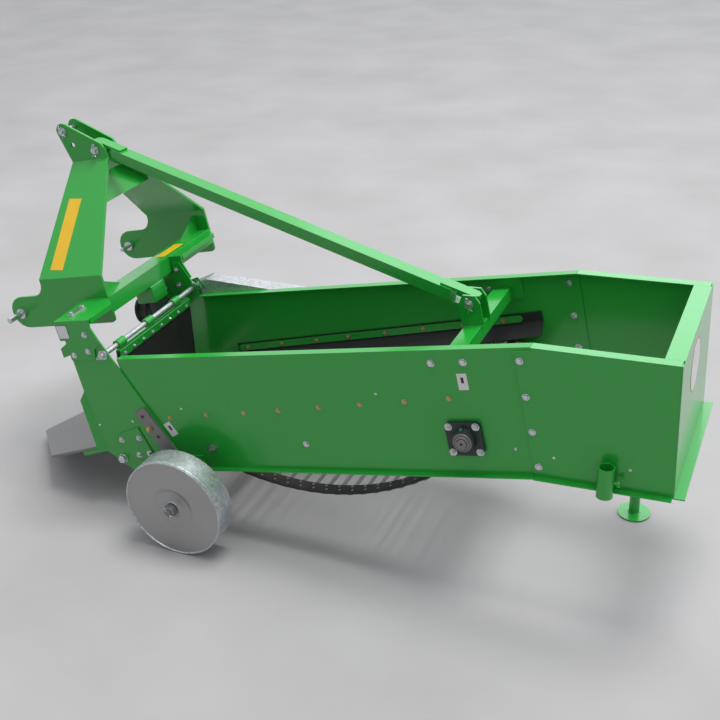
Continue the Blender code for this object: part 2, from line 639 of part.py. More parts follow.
# ---------------------------------------------------------------- brace and crossbar
def top_brace():
    """Square tube from the A-frame's top to the crossbar.

    It runs askew, so each end has two straps that swing on a sleeve, and the sleeve lies square to the lugs.
    """
    rear, front = Vector((BRACE_REAR_U, 0, BRACE_REAR_V)), Vector((BRACE_FRONT_U, HEADSTOCK_Y, BRACE_FRONT_V))
    course = front - rear
    length = course.length
    along = course / length
    across = Vector((0, 0, 1)).cross(along).normalized()
    frame = Matrix((along, across, along.cross(across))).transposed().to_4x4()
    frame.translation = rear
    half, w = BRACE_HEIGHT / 2, BRACE_WIDTH / 2
    pieces = [box(BRACE_SETBACK, length - BRACE_SETBACK, -w, w, -half, half)]
    tip, narrow = STRAP_WIDTH / 2, STRAP_WIDTH / 4
    turn = Matrix(((1, 0, 0, 0), (0, 0, 1, 0), (0, 1, 0, 0), (0, 0, 0, 1)))
    for end, way in ((0, 1), (length, -1)):
        stations = [(-STRAP_OVERHANG, narrow), (-STRAP_OVERHANG + 0.014, tip), (STRAP_REACH, tip)]
        plan = [(end + way * x, y) for x, y in stations] + [(end + way * x, -y) for x, y in reversed(stations)]
        for low, high in ((half - 0.001, half + STRAP_THICKNESS), (-half - STRAP_THICKNESS, 0.001 - half)):
            strap = prism(plan, low, high)
            strap.data.transform(turn)
            bm = bmesh.new()
            bm.from_mesh(strap.data)
            bmesh.ops.recalc_face_normals(bm, faces=bm.faces)
            bm.to_mesh(strap.data)
            bm.free()
            pieces.append(strap)
    for piece in pieces:
        piece.data.transform(frame)
    for point in (rear, front):
        sleeve = rod(point.x, point.z, half + 0.002, point.y - w, point.y + w)
        pieces.append(sleeve)
    brace = fuse(*pieces)
    return cut(brace, *[rod(p.x, p.z, BRACE_PIN_RADIUS + GAP, p.y - BRACE_WIDTH, p.y + BRACE_WIDTH, segments=20)
                        for p in (rear, front)])


def crossbar():
    """Tube across the tub that takes the brace's rear end between two lugs."""
    end = INNER - GAP
    mid = BRACE_REAR_U
    low = CROSSBAR_TOP - CROSSBAR_HEIGHT
    tube = box(mid - CROSSBAR_LENGTH / 2, mid + CROSSBAR_LENGTH / 2, 0.003 - end, end - 0.003, low, CROSSBAR_TOP)
    pieces = []
    inner = BRACE_WIDTH / 2 + BRACE_CLEARANCE
    for side in (-1, 1):
        pieces.append(box(mid - 0.070, mid + 0.070, side * (end - 0.006), side * end, low - 0.004, PANEL_HEIGHT - 0.012))
        lug = [(mid - 0.036, CROSSBAR_TOP - 0.002), (mid + 0.036, CROSSBAR_TOP - 0.002), (mid + 0.036, BRACE_REAR_V),
               (mid + 0.016, BRACE_REAR_V + 0.032), (mid - 0.024, BRACE_REAR_V + 0.026), (mid - 0.036, BRACE_REAR_V)]
        pieces.append(prism(lug, side * inner, side * (inner + CROSSBAR_LUG)))
    bar = fuse(tube, *pieces)
    return cut(bar, rod(BRACE_REAR_U, BRACE_REAR_V, BRACE_PIN_RADIUS + GAP, -0.08, 0.08, segments=20))


# ---------------------------------------------------------------- curtain
def curtain_rod():
    r, left, right = ROD_RADIUS, CHEEK_OUT + GAP, -CHEEK_IN
    profile = [(0, right), (r, right), (r, left), (r * 1.8, left), (r * 1.8, left + 0.004), (r, left + 0.004),
               (r, left + 0.018), (0, left + 0.018)]
    return turned(profile, (ROD_U, 0, ROD_V), segments=20)


def hang(across, down):
    """A point of the hanging curtain: behind its rod and below it, straight down in the world."""
    u = ROD_U - across * cos(NOSE_DOWN) + down * sin(NOSE_DOWN)
    v = ROD_V - across * sin(NOSE_DOWN) - down * cos(NOSE_DOWN)
    return u, v


def curtain_hanger():
    """Three sleeves that turn on the rod and the flat bar welded behind and below them."""
    outer = ROD_RADIUS + 0.006
    front, back, top, low = HANGER_BACK, HANGER_BACK + HANGER_THICKNESS, 0.0105, 0.0105 + HANGER_HEIGHT
    half = CURTAIN_WIDTH / 2
    bar = prism([hang(front, top), hang(back, top), hang(back, low), hang(front, low)], -half, half)
    sleeves = [rod(ROD_U, ROD_V, outer, y - 0.022, y + 0.022) for y in (-0.165, 0.015, 0.195)]
    hanger = fuse(bar, *sleeves)
    return cut(hanger, rod(ROD_U, ROD_V, ROD_RADIUS + 0.001, -SIDE, SIDE))


def curtain_sheet():
    """Rubber sheet behind the flat bar."""
    front = HANGER_BACK + HANGER_THICKNESS + GAP
    back, top, half = front + CURTAIN_THICKNESS, 0.0125, CURTAIN_WIDTH / 2
    corners = [hang(front, top), hang(back, top), hang(back, CURTAIN_DROP), hang(front, CURTAIN_DROP)]
    return prism(corners, -half, half)


# ---------------------------------------------------------------- web and its rollers
def tangent(c1, r1, c2, r2):
    """Where a belt leaves one circle and meets the next; a radius is negative if the belt runs clockwise."""
    along = atan2(c2[1] - c1[1], c2[0] - c1[0])
    course = along + asin((r1 - r2) / hypot(c2[0] - c1[0], c2[1] - c1[1]))
    n = (sin(course), -cos(course))
    return course, (c1[0] + r1 * n[0], c1[1] + r1 * n[1]), (c2[0] + r2 * n[0], c2[1] + r2 * n[1])


def wrap(centre, radius, start, end, steps):
    """An arc whose chords, and not its corners, keep the radius."""
    return arc(centre, radius / cos((end - start) / steps / 2), start, end, steps)


def web_line():
    """The belts' middle line, anticlockwise: back along the top, round the drive and home under the tub."""
    half = BELT_THICKNESS / 2 + GAP
    front, drive, back = (FRONT_ROLLER_U, FRONT_ROLLER_V), (DRIVE_U, DRIVE_V), (RETURN_U, RETURN_V)
    rf, rd = FRONT_ROLLER_RADIUS + half, DRIVE_RADIUS + half
    rb = RETURN_RADIUS + BAR_LIFT + BAR_SIZE / 2 + 2 * GAP
    top_course, _, _ = tangent(front, rf, drive, rd)
    home_course, _, _ = tangent(back, -rb, front, rf)
    span = RETURN_U - DRIVE_U
    slope = atan2(4 * WEB_SAG, span)
    line = wrap(front, rf, home_course - pi / 2, top_course - pi / 2, 8)
    line += wrap(drive, rd, top_course - pi / 2, 3 * pi / 2 - slope, 10)
    start = line[-1]
    rise = wrap(back, rb, pi / 2 + slope * 0.9, pi / 2 + home_course, 4)
    end, steps = rise[0], 14
    for k in range(1, steps):
        t = k / steps
        line.append((start[0] + (end[0] - start[0]) * t,
                     start[1] + (end[1] - start[1]) * t - 4 * WEB_SAG * t * (1 - t)))
    return line + rise


def offset_line(line, distance):
    """A closed line moved sideways; positive moves it to the right of its course."""
    moved = []
    for i, (u, v) in enumerate(line):
        before, after = line[i - 1], line[(i + 1) % len(line)]
        du, dv = after[0] - before[0], after[1] - before[1]
        size = hypot(du, dv)
        moved.append((u + distance * dv / size, v - distance * du / size))
    return moved


def stations(line, pitch):
    """Evenly spaced places along a closed line, as (u, v, course)."""
    runs = [hypot(b[0] - a[0], b[1] - a[1]) for a, b in zip(line, line[1:] + line[:1])]
    count = round(sum(runs) / pitch)
    step, places, travelled, k = sum(runs) / count, [], 0.0, 0
    for (a, b), run in zip(zip(line, line[1:] + line[:1]), runs):
        while k < count and (k + 0.5) * step <= travelled + run:
            t = ((k + 0.5) * step - travelled) / run
            places.append((a[0] + (b[0] - a[0]) * t, a[1] + (b[1] - a[1]) * t, atan2(b[1] - a[1], b[0] - a[0])))
            k += 1
        travelled += run
    return places


def web():
    """Endless web of the elevator, as one fixed loop: two belts and the bars that join them."""
    line = web_line()
    outer, inner = offset_line(line, BELT_THICKNESS / 2), offset_line(line, -BELT_THICKNESS / 2)
    bm = bmesh.new()
    for side in (-1, 1):
        near, far = side * (WEB_HALF - BELT_WIDTH), side * WEB_HALF
        loops = [[bm.verts.new((u, y, v)) for u, v in edge] for edge, y in (
            (outer, near), (outer, far), (inner, far), (inner, near))]
        for a, b in zip(loops, loops[1:] + loops[:1]):
            for i in range(len(line)):
                j = (i + 1) % len(line)
                bm.faces.new((a[i], a[j], b[j], b[i]))
    belts = new_object("belts", bm)
    bm = bmesh.new()
    reach, half = WEB_HALF - BAR_INSET, BAR_SIZE / 2
    for u, v, course in stations(line, BAR_PITCH):
        bar = bmesh.ops.create_cube(bm, size=1)["verts"]
        centre = Matrix.Translation((u + BAR_LIFT * sin(course), 0, v - BAR_LIFT * cos(course)))
        turn = Matrix.Rotation(-course, 4, "Y")
        bmesh.ops.transform(bm, matrix=centre @ turn @ Matrix.Diagonal((2 * half, 2 * reach, 2 * half, 1)), verts=bar)
    return fuse(belts, new_object("bars", bm))


def carrier_v():
    """Height of the carrier axle, whose rollers touch the web's upper run from below."""
    half = BELT_THICKNESS / 2 + GAP
    course, start, end = tangent((FRONT_ROLLER_U, FRONT_ROLLER_V), FRONT_ROLLER_RADIUS + half,
                                 (DRIVE_U, DRIVE_V), DRIVE_RADIUS + half)
    t = (CARRIER_U - start[0]) / (end[0] - start[0])
    return start[1] + (end[1] - start[1]) * t - (half + CARRIER_RADIUS) / abs(cos(course))


def roller(u, v, radius, axle, half_axle, drums):
    """An axle with drums on it; drums are (middle, width) along y."""
    shaft = rod(u, v, axle, -half_axle, half_axle, segments=20)
    return fuse(shaft, *[rod(u, v, radius, y - w / 2, y + w / 2, segments=28) for y, w in drums])


def bearing(side):
    """Square flanged bearing on the outside of a main panel."""
    half, plate, nose, corner = BEARING_HALF, BEARING_PLATE, BEARING_DEPTH, 0.018
    face = SIDE + GAP
    centres = [(1, 1, 0), (-1, 1, pi / 2), (-1, -1, pi), (1, -1, 3 * pi / 2)]
    outline = []
    for su, sv, start in centres:
        outline += arc((DRIVE_U + su * (half - corner), DRIVE_V + sv * (half - corner)), corner, start,
                       start + pi / 2, 4)
    flange = prism(outline, side * face, side * (face + plate))
    hub = turned([(0, side * (face + 0.002)), (0.042, side * (face + 0.002)), (0.036, side * (face + nose)),
                  (0, side * (face + nose))], (DRIVE_U, 0, DRIVE_V))
    housing = fuse(flange, hub)
    return cut(housing, rod(DRIVE_U, DRIVE_V, DRIVE_SHAFT_RADIUS + GAP, side * (face - 0.02),
                            side * (face + nose + 0.02)))


def return_bracket(side):
    """Small plate on the panel that carries the return roller's axle below the panel's edge."""
    y0 = side * (SIDE + GAP)
    y1 = side * (SIDE + GAP + CHEEK_THICKNESS)
    plate = prism([(RETURN_U - 0.024, RETURN_V - 0.020), (RETURN_U + 0.024, RETURN_V - 0.020),
                   (RETURN_U + 0.024, RETURN_V + 0.060), (RETURN_U - 0.024, RETURN_V + 0.060)], y0, y1)
    return cut(plate, rod(RETURN_U, RETURN_V, RETURN_AXLE + GAP, side * (SIDE - 0.02), side * (SIDE + 0.03)))


# ---------------------------------------------------------------- side seals
def seal_line(u):
    t = (u - SEAL_REAR_U) / (SEAL_FRONT_U - SEAL_REAR_U)
    return SEAL_REAR_V + (SEAL_FRONT_V - SEAL_REAR_V) * t


def web_top(u):
    """Upper face of the web's top run."""
    half = BELT_THICKNESS / 2 + GAP
    _, start, end = tangent((FRONT_ROLLER_U, FRONT_ROLLER_V), FRONT_ROLLER_RADIUS + half,
                            (DRIVE_U, DRIVE_V), DRIVE_RADIUS + half)
    t = (u - start[0]) / (end[0] - start[0])
    return start[1] + (end[1] - start[1]) * t + half


def seal(side):
    """Rubber strip clamped to the panel, its lower half leaning in over the web's edge."""
    y, lip = side * (INNER - GAP - SEAL_THICKNESS), side * (WEB_HALF - SEAL_LAP)
    ends = [(u, seal_line(u)) for u in (SEAL_REAR_U, SEAL_FRONT_U)]
    upper = [(u, y, v + CLAMP_HEIGHT / 2 + 0.004) for u, v in ends]
    fold = [(u, y, v - CLAMP_HEIGHT / 2 - 0.004) for u, v in reversed(ends)]
    proud = BAR_LIFT + BAR_SIZE / 2 - BELT_THICKNESS / 2 - GAP
    edge = [(u, lip, web_top(u) + proud + SEAL_CLEARANCE) for u, _ in ends]
    return sheet([(upper + fold, (0, -side, 0)), (edge + fold, (0, -side, 1))], SEAL_THICKNESS)


def clamp_bar(side):
    """Flat bar that clamps the rubber strip to the panel."""
    half = CLAMP_HEIGHT / 2
    y = INNER - GAP - SEAL_THICKNESS - GAP
    rear, front = SEAL_REAR_U + 0.080, SEAL_FRONT_U - 0.020
    outline = round_end_strip((rear, seal_line(rear)), (front, seal_line(front)), 2 * half, 5)
    return prism(outline, side * (y - CLAMP_THICKNESS), side * y)


# ---------------------------------------------------------------- wheels
def wheel_arm(side):
    """Flat bar on the cheek, set by its row of holes, with the wheel's stub axle at its lower end."""
    y0, y1 = CHEEK_OUT + GAP, CHEEK_OUT + GAP + ARM_THICKNESS
    du, dv = ARM_TOP_U - WHEEL_U, ARM_TOP_V - WHEEL_V
    size = hypot(du, dv)
    n = (dv / size * ARM_WIDTH / 2, -du / size * ARM_WIDTH / 2)
    along = atan2(dv, du)
    outline = [(ARM_TOP_U + n[0], ARM_TOP_V + n[1]), (ARM_TOP_U - n[0], ARM_TOP_V - n[1])]
    outline += arc((WHEEL_U, WHEEL_V), ARM_WIDTH / 2, along + pi / 2, along + 3 * pi / 2, 8)
    bar = prism(outline, side * y0, side * y1)
    inner = WHEEL_OUTER_Y - WHEEL_WIDTH
    collar = inner - 0.004
    end = WHEEL_OUTER_Y + 0.003
    profile = [(0, y1 - 0.003), (AXLE_RADIUS * 1.6, y1 - 0.003), (AXLE_RADIUS * 1.6, collar), (AXLE_RADIUS, collar),
               (AXLE_RADIUS, end), (AXLE_RADIUS * 1.4, end), (AXLE_RADIUS * 1.4, end + 0.016),
               (AXLE_RADIUS * 0.6, end + 0.016), (AXLE_RADIUS * 0.6, WHEEL_OUTER_Y + STUB_END),
               (0, WHEEL_OUTER_Y + STUB_END)]
    stub = turned([(r, side * y) for r, y in profile], (WHEEL_U, 0, WHEEL_V), segments=24)
    return fuse(bar, stub)


def depth_wheel(side):
    """Drum wheel with a dished outer disc and a hub tube, open towards the machine."""
    inner = WHEEL_OUTER_Y - WHEEL_WIDTH
    out, r, t = WHEEL_OUTER_Y, WHEEL_RADIUS, WHEEL_SHELL
    bore, hub = AXLE_RADIUS + 0.001, AXLE_RADIUS + 0.010
    profile = [
        (r, inner), (r, out - 0.012), (r - 0.004, out - 0.004), (r - 0.012, out), (0.075, out),
        (0.066, out - 0.006), (0.045, out - 0.006), (0.040, out - 0.001), (bore, out - 0.001),
        (bore, inner), (hub, inner), (hub, out - 0.006 - t), (0.066, out - 0.006 - t), (0.078, out - t),
        (r - 0.016, out - t), (r - t, out - 0.016), (r - t, inner),
    ]
    return turned([(radius, side * y) for radius, y in profile], (WHEEL_U, 0, WHEEL_V), segments=48)


# ---------------------------------------------------------------- stand
def socket_y():
    return REAR_OUT + GAP + SOCKET_RADIUS


def upright(profile, side, segments=28):
    """A turned shape whose axis is plumb in the world; along counts up from the floor."""
    axis = Vector((-sin(NOSE_DOWN), 0, cos(NOSE_DOWN)))
    floor = socket_floor()
    return turned(profile, (floor[0], side * socket_y(), floor[1]), axis=axis, segments=segments)


def socket_floor():
    """The point of the floor right below the socket's middle, in the machine's frame."""
    height = MACHINE_Z + lean(SOCKET_U, SOCKET_V)[1]
    return SOCKET_U + height * sin(NOSE_DOWN), SOCKET_V - height * cos(NOSE_DOWN)


def socket_height():
    return MACHINE_Z + lean(SOCKET_U, SOCKET_V)[1]


def socket_space(side):
    mid, half = socket_height(), SOCKET_LENGTH / 2
    r = SOCKET_RADIUS + GAP
    return upright([(0, mid - half - 0.01), (r, mid - half - 0.01), (r, mid + half + 0.01), (0, mid + half + 0.01)],
                   side)


def stand_socket(side):
    """Open tube for the stand.  The right one carries the stand, so its clamp bolt is screwed home."""
    mid, half = socket_height(), SOCKET_LENGTH / 2
    outer, inner = SOCKET_RADIUS, SOCKET_RADIUS - SOCKET_WALL
    tube = upright([(outer, mid - half), (outer, mid + half), (inner, mid + half), (inner, mid - half)], side)
    floor = socket_floor()
    centre = (floor[0] - mid * sin(NOSE_DOWN), side * socket_y(), floor[1] + mid * cos(NOSE_DOWN))
    tip = STAND_RADIUS + GAP if side < 0 else inner - 0.001
    bolt = turned([(0, tip), (0.005, tip), (0.005, outer + 0.010), (0.010, outer + 0.010), (0.010, outer + 0.018),
                   (0, outer + 0.018)], centre, axis=(-cos(NOSE_DOWN), 0, -sin(NOSE_DOWN)), segments=16)
    return fuse(tube, bolt)


def parking_stand(side):
    """Round tube with a disc foot, standing on the floor in its socket."""
    r, bore = STAND_RADIUS, STAND_RADIUS - STAND_WALL
    top = socket_height() + SOCKET_LENGTH / 2 + STAND_ABOVE
    return upright([(0, 0), (FOOT_RADIUS - 0.003, 0), (FOOT_RADIUS, 0.003), (FOOT_RADIUS, FOOT_THICKNESS),
                    (r, FOOT_THICKNESS), (r, top), (bore, top), (bore, FOOT_THICKNESS * 2), (0, FOOT_THICKNESS * 2)],
                   side)


# ---------------------------------------------------------------- drive
def drive_guard():
    """Sheet box over the side chain: against the main panel at the rear, and outside the ear ahead of it."""
    near, far = -(SIDE + GAP), -(SIDE + GAP + GUARD_WIDTH)
    ahead = -(CHEEK_OUT + CHEEK_THICKNESS + 2 * GAP)
    front, rear, output = (GUARD_FRONT_U, GUARD_FRONT_V), (DRIVE_U, DRIVE_V), (OUTPUT_U, OUTPUT_V)
    w, step = GUARD_WALL, 0.001
    slim = GUARD_FRONT_RADIUS - step
    shell = fuse(prism(belt_hull(rear, GUARD_REAR_RADIUS, front, GUARD_FRONT_RADIUS), far, near),
                 prism(belt_hull(front, slim, output, slim), far + step, ahead))
    room = fuse(prism(belt_hull(rear, GUARD_REAR_RADIUS - w, front, GUARD_FRONT_RADIUS - w), far + w, near - w),
                prism(belt_hull(front, slim - w, output, slim - w), far + step + w, ahead - w))
    guard = cut(shell, room)
    return cut(guard, rod(*output, SHAFT_RADIUS + SHAFT_CLEARANCE, ahead - 0.01, ahead + 0.01),
               rod(*rear, 0.084, near - 0.02, near + 0.02))


def gearbox():
    """Bevel gearbox hung under the crossbeam."""
    top, half, corner = BEAM_LOW - GAP, GEARBOX_WIDTH / 2, GEARBOX_CORNER
    rear = GEARBOX_FRONT - GEARBOX_LENGTH
    outline = [(rear, top - corner), (rear + corner, top), (GEARBOX_FRONT - corner, top),
               (GEARBOX_FRONT, top - corner), (GEARBOX_FRONT, GEARBOX_SHELF), (INPUT_U, GEARBOX_SHELF),
               (INPUT_U, GEARBOX_LOW), (rear + 0.030, GEARBOX_LOW), (rear, GEARBOX_LOW + 0.040)]
    return prism(outline, GEARBOX_Y - half, GEARBOX_Y + half)


def power_stub():
    """Input shaft of the gearbox inside its guard."""
    boss, shaft, step = 0.022, 0.0175, 0.030
    return turned([(0, GAP), (boss, GAP), (boss, step), (shaft, step), (shaft, STUB_LENGTH), (0, STUB_LENGTH)],
                  (INPUT_U, GEARBOX_Y, INPUT_V), axis=(1, 0, 0))


def power_guard():
    """Open bell round the input shaft."""
    wall, bell, waist, hole, end = 0.003, 0.056, 0.050, 0.028, POWER_GUARD_LENGTH
    return turned([(0.046, GAP), (waist, 0.040), (bell, end), (bell - wall, end), (waist - wall, 0.040),
                   (0.043, 0.006), (hole, 0.006), (hole, GAP)],
                  (INPUT_U, GEARBOX_Y, INPUT_V), axis=(1, 0, 0))


def cross_shaft():
    """Shaft from the gearbox to the side chain."""
    start, end = GEARBOX_Y - GEARBOX_WIDTH / 2 - GAP, -(SIDE + GAP + GUARD_WIDTH / 2)
    return rod(OUTPUT_U, OUTPUT_V, SHAFT_RADIUS, end, start)


# ---------------------------------------------------------------- the whole machine
def build():
    for obj in list(bpy.data.objects):
        bpy.data.objects.remove(obj, do_unlink=True)
    machine = bpy.data.objects.new("machine_frame", None)
    bpy.context.scene.collection.objects.link(machine)
    machine.location = (MACHINE_X, MACHINE_Y, MACHINE_Z)
    machine.rotation_euler = (0, NOSE_DOWN, 0)

    sides = {"left": 1, "right": -1}
    paired = [                # name, maker, surface, round
        ("main_panel", main_panel, "green_paint", False),
        ("rear_side", rear_side, "green_paint", False),
        ("cheek", cheek, "green_paint", False),
        ("headstock_leg", headstock_leg, "green_paint", False),
        ("beam_bracket", beam_bracket, "green_paint", False),
        ("hitch_pin", hitch_pin, "zinc", True),
        ("bearing", bearing, "cast_iron", True),
        ("return_bracket", return_bracket, "green_paint", False),
        ("seal_strip", seal, "black_rubber", False),
        ("clamp_bar", clamp_bar, "green_paint", False),
        ("wheel_arm", wheel_arm, "bare_steel", True),
        ("stand_socket", stand_socket, "green_paint", True),
    ]
    single = [                # name, shape, surface, round
        ("rear_plate", rear_plate(), "green_paint", False),
        ("share", share(), "bare_steel", False),
        ("share_frame", share_frame(), "green_paint", False),
        ("leg_tie", leg_tie(), "green_paint", False),
        ("crossbeam", crossbeam(), "green_paint", False),
        ("top_link_pin", stood_off(cross_pin(TOP_LINK_U, TOP_LINK_V, TOP_PIN_RADIUS, TOP_OUT, 0.016)), "zinc", True),
        ("brace_pin_front", stood_off(cross_pin(BRACE_FRONT_U, BRACE_FRONT_V, BRACE_PIN_RADIUS, TOP_OUT, 0.016)),
         "zinc", True),
        ("brace_pin_rear", cross_pin(BRACE_REAR_U, BRACE_REAR_V, BRACE_PIN_RADIUS,
                                     BRACE_WIDTH / 2 + BRACE_CLEARANCE + CROSSBAR_LUG, 0.016), "zinc", True),
        ("top_brace", top_brace(), "green_paint", True),
        ("crossbar", crossbar(), "green_paint", False),
        ("curtain_rod", curtain_rod(), "zinc", True),
        ("web", web(), "black_rubber", True),
        ("drive_shaft", roller(DRIVE_U, DRIVE_V, DRIVE_RADIUS, DRIVE_SHAFT_RADIUS, SIDE + 0.045,
                               ((0.05 - WEB_HALF, 0.06), (0, 0.06), (WEB_HALF - 0.05, 0.06))), "bare_steel", True),
        ("front_roller", roller(FRONT_ROLLER_U, FRONT_ROLLER_V, FRONT_ROLLER_RADIUS, FRONT_AXLE, CHEEK_OUT + 0.012,
                                ((0, 2 * WEB_HALF),)), "bare_steel", True),
        ("carrier_rollers", roller(CARRIER_U, carrier_v(), CARRIER_RADIUS, CARRIER_AXLE, SIDE + 0.014,
                                   ((0.04 - WEB_HALF, 0.06), (WEB_HALF - 0.04, 0.06))), "bare_steel", True),
        ("return_roller", roller(RETURN_U, RETURN_V, RETURN_RADIUS, RETURN_AXLE, SIDE + 0.010,
                                 ((0, 2 * WEB_HALF),)), "bare_steel", True),
        ("drive_guard", drive_guard(), "zinc", False),
        ("gearbox", gearbox(), "green_paint", False),
        ("power_stub", power_stub(), "bare_steel", True),
        ("power_guard", power_guard(), "black_plastic", True),
        ("cross_shaft", cross_shaft(), "black_plastic", True),
    ]
    for name, maker, surface, smooth in paired:
        for word, side in sides.items():
            finish(maker(side), f"{name}_{word}", surface, machine, smooth)
    for name, obj, surface, smooth in single:
        finish(obj, name, surface, machine, smooth)
    for word, side in sides.items():
        finish(depth_wheel(side), f"depth_wheel_{word}", "zinc", machine, True, pivot=(WHEEL_U, 0, WHEEL_V))
    rod_axis = (ROD_U, 0, ROD_V)
    finish(curtain_hanger(), "curtain_hanger", "green_paint", machine, True, pivot=rod_axis)
    finish(curtain_sheet(), "curtain_sheet", "black_rubber", machine, False, pivot=rod_axis)
    floor = socket_floor()
    finish(parking_stand(-1), "parking_stand", "green_paint", machine, True, pivot=(floor[0], -socket_y(), floor[1]))


build()
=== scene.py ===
# %% [markdown]
# # A single-row potato digger
#
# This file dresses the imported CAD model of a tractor-mounted potato digger: sheet-metal tub, endless web,
# pointed share, A-frame headstock and two steel depth wheels.  It starts from the fixed CAD solids, and adds
# finishes, fasteners, rubber parts, weld beads, a floor, lamps and a camera.  The solids already stand where
# they belong, so nothing here has to be fitted: every place below is worked out from them.

import json
from math import asin, atan2, cos, hypot, pi, radians, sin

import bmesh
import bpy
from mathutils import Matrix, Vector


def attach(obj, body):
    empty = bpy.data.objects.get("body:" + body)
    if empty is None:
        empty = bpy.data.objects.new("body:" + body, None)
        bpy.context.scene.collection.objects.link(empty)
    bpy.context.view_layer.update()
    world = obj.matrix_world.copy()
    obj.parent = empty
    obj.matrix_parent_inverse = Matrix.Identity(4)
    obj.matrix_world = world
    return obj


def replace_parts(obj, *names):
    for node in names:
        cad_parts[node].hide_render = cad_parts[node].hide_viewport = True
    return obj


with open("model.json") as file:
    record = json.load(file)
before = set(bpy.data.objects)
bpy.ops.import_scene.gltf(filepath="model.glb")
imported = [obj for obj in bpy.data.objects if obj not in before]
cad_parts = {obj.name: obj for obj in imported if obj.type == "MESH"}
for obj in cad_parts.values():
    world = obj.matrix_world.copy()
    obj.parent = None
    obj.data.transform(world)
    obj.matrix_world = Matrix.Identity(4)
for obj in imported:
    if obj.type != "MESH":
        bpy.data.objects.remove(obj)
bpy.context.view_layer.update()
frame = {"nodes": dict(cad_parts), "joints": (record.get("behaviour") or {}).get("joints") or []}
scene = bpy.context.scene

# %% [markdown]
# The machine parks nose down, so its own floor line is tilted against the real floor.  Fasteners and seams are
# easiest to place square to the sheet metal.  `at(u, y, v)` takes a point in the machine's own frame (u forward
# along the tub, y left, v up) to the world, and `toward` does the same for a direction.  The origin comes from
# the left wheel's joint, whose place on the machine is known.

# %% The machine's own frame
NOSE_DOWN = radians(11.5)
WHEEL_U, WHEEL_Y, WHEEL_V = 1.250, 0.4213, -0.065
hub = next(Vector(j["pos_m"]) for j in frame["joints"] if j["name"] == "wheel_left_spin")
tilt = Matrix.Rotation(NOSE_DOWN, 3, "Y")
origin = hub - tilt @ Vector((WHEEL_U, WHEEL_Y, WHEEL_V))


def at(u, y, v):
    return origin + tilt @ Vector((u, y, v))


def toward(u, y, v):
    return tilt @ Vector((u, y, v))


SIDES = {"left": 1, "right": -1}
LEFT, RIGHT, UP = Vector((0, 1, 0)), Vector((0, -1, 0)), toward(0, 0, 1)
PANEL_Y, PANEL_IN = 0.290, 0.286     # outer and inner faces of the long panels
CHEEK_Y, CHEEK_IN = 0.2963, 0.2903   # and of the cheeks
REAR_Y = 0.2943                      # outer face of the rear box
BRACKET_Y = 0.3026                   # outer face of the left beam bracket
ARM_Y = 0.3069                       # outer face of the wheel arms
BEARING_Y = 0.3043                   # where the bearings' bolts sit
CLAMP_Y = 0.2744                     # inner face of the clamp bars
HEADSTOCK_Y = -0.254                 # middle of the A-frame
TOP_LUG_Y = HEADSTOCK_Y + 0.053      # where the clips of its upper pins sit
print("machine origin", [round(c, 3) for c in origin])

# %% [markdown]
# ## Finishes
#
# Sheet metal looks like sheet metal because of small things: its edges are never knife-sharp, they wear first,
# and a powder coat has a fine orange peel.  Three effects serve several finishes, so each is a node group, built
# once: `rolled_edge` rounds the shading of edges and finds where they are, `mottle` varies a surface slowly and
# finely, and `dust` finds the parts close to the ground.  A node is written in one line: `add` makes it, and its
# `feeds` give each input a number, a colour or another node's output.

# %% Helpers for nodes
FLOAT, VECTOR = "NodeSocketFloat", "NodeSocketVector"


def plug(tree, source, target):
    tree.links.new(source, target)


def add(tree, kind, at_xy=(0, 0), feeds=None, **settings):
    """A new node with its settings; feeds maps an input to a value or to another node's output."""
    made = tree.nodes.new(kind)
    made.location = at_xy
    for name, value in settings.items():
        setattr(made, name, value)
    for name, value in (feeds or {}).items():
        if isinstance(value, bpy.types.NodeSocket):
            plug(tree, value, made.inputs[name])
        else:
            made.inputs[name].default_value = value
    return made


def group(name, inputs, outputs):
    """A shader node group with named sockets: (name, kind, default)."""
    tree = bpy.data.node_groups.new(name, "ShaderNodeTree")
    for label, kind, default in inputs:
        tree.interface.new_socket(label, in_out="INPUT", socket_type=kind).default_value = default
    for label, kind in outputs:
        tree.interface.new_socket(label, in_out="OUTPUT", socket_type=kind)
    return tree, add(tree, "NodeGroupInput", (-900, 0)), add(tree, "NodeGroupOutput", (700, 0))


print("node helpers: plug, add, group")

# %% [markdown]
# Sheet that was cut and folded has rounded edges, which catch a thin line of light.  They could be modelled, but
# that would change the solids.  The Bevel node only turns the shading normals, and comparing them with the true
# ones finds the edges too.

# %% Rolled edges
def rolled_edge():
    """Rounds the shading of edges, and puts out a mask that is 1 along them."""
    tree, given, out = group("rolled_edge", [("Radius", FLOAT, 0.0015)], [("Normal", VECTOR), ("Edge", FLOAT)])
    bevel = add(tree, "ShaderNodeBevel", (-600, 100), {"Radius": given.outputs["Radius"]}, samples=4)
    flat = add(tree, "ShaderNodeNewGeometry", (-600, -150))
    dot = add(tree, "ShaderNodeVectorMath", (-350, 0), {0: bevel.outputs["Normal"], 1: flat.outputs["Normal"]},
              operation="DOT_PRODUCT")
    spread = add(tree, "ShaderNodeMapRange", (-100, 0),
                 {"From Min": 0.995, "From Max": 0.80, "Value": dot.outputs["Value"]})
    plug(tree, bevel.outputs["Normal"], out.inputs["Normal"])
    plug(tree, spread.outputs["Result"], out.inputs["Edge"])
    return tree


ROLLED_EDGE = rolled_edge()
print("edge rounding:", len(ROLLED_EDGE.nodes), "nodes")

# %% [markdown]
# No coat is one flat colour.  A painted texture could give the variation, but noise needs no unwrapping and has
# no seams: one slow cloud for patches, one fine one for grain.

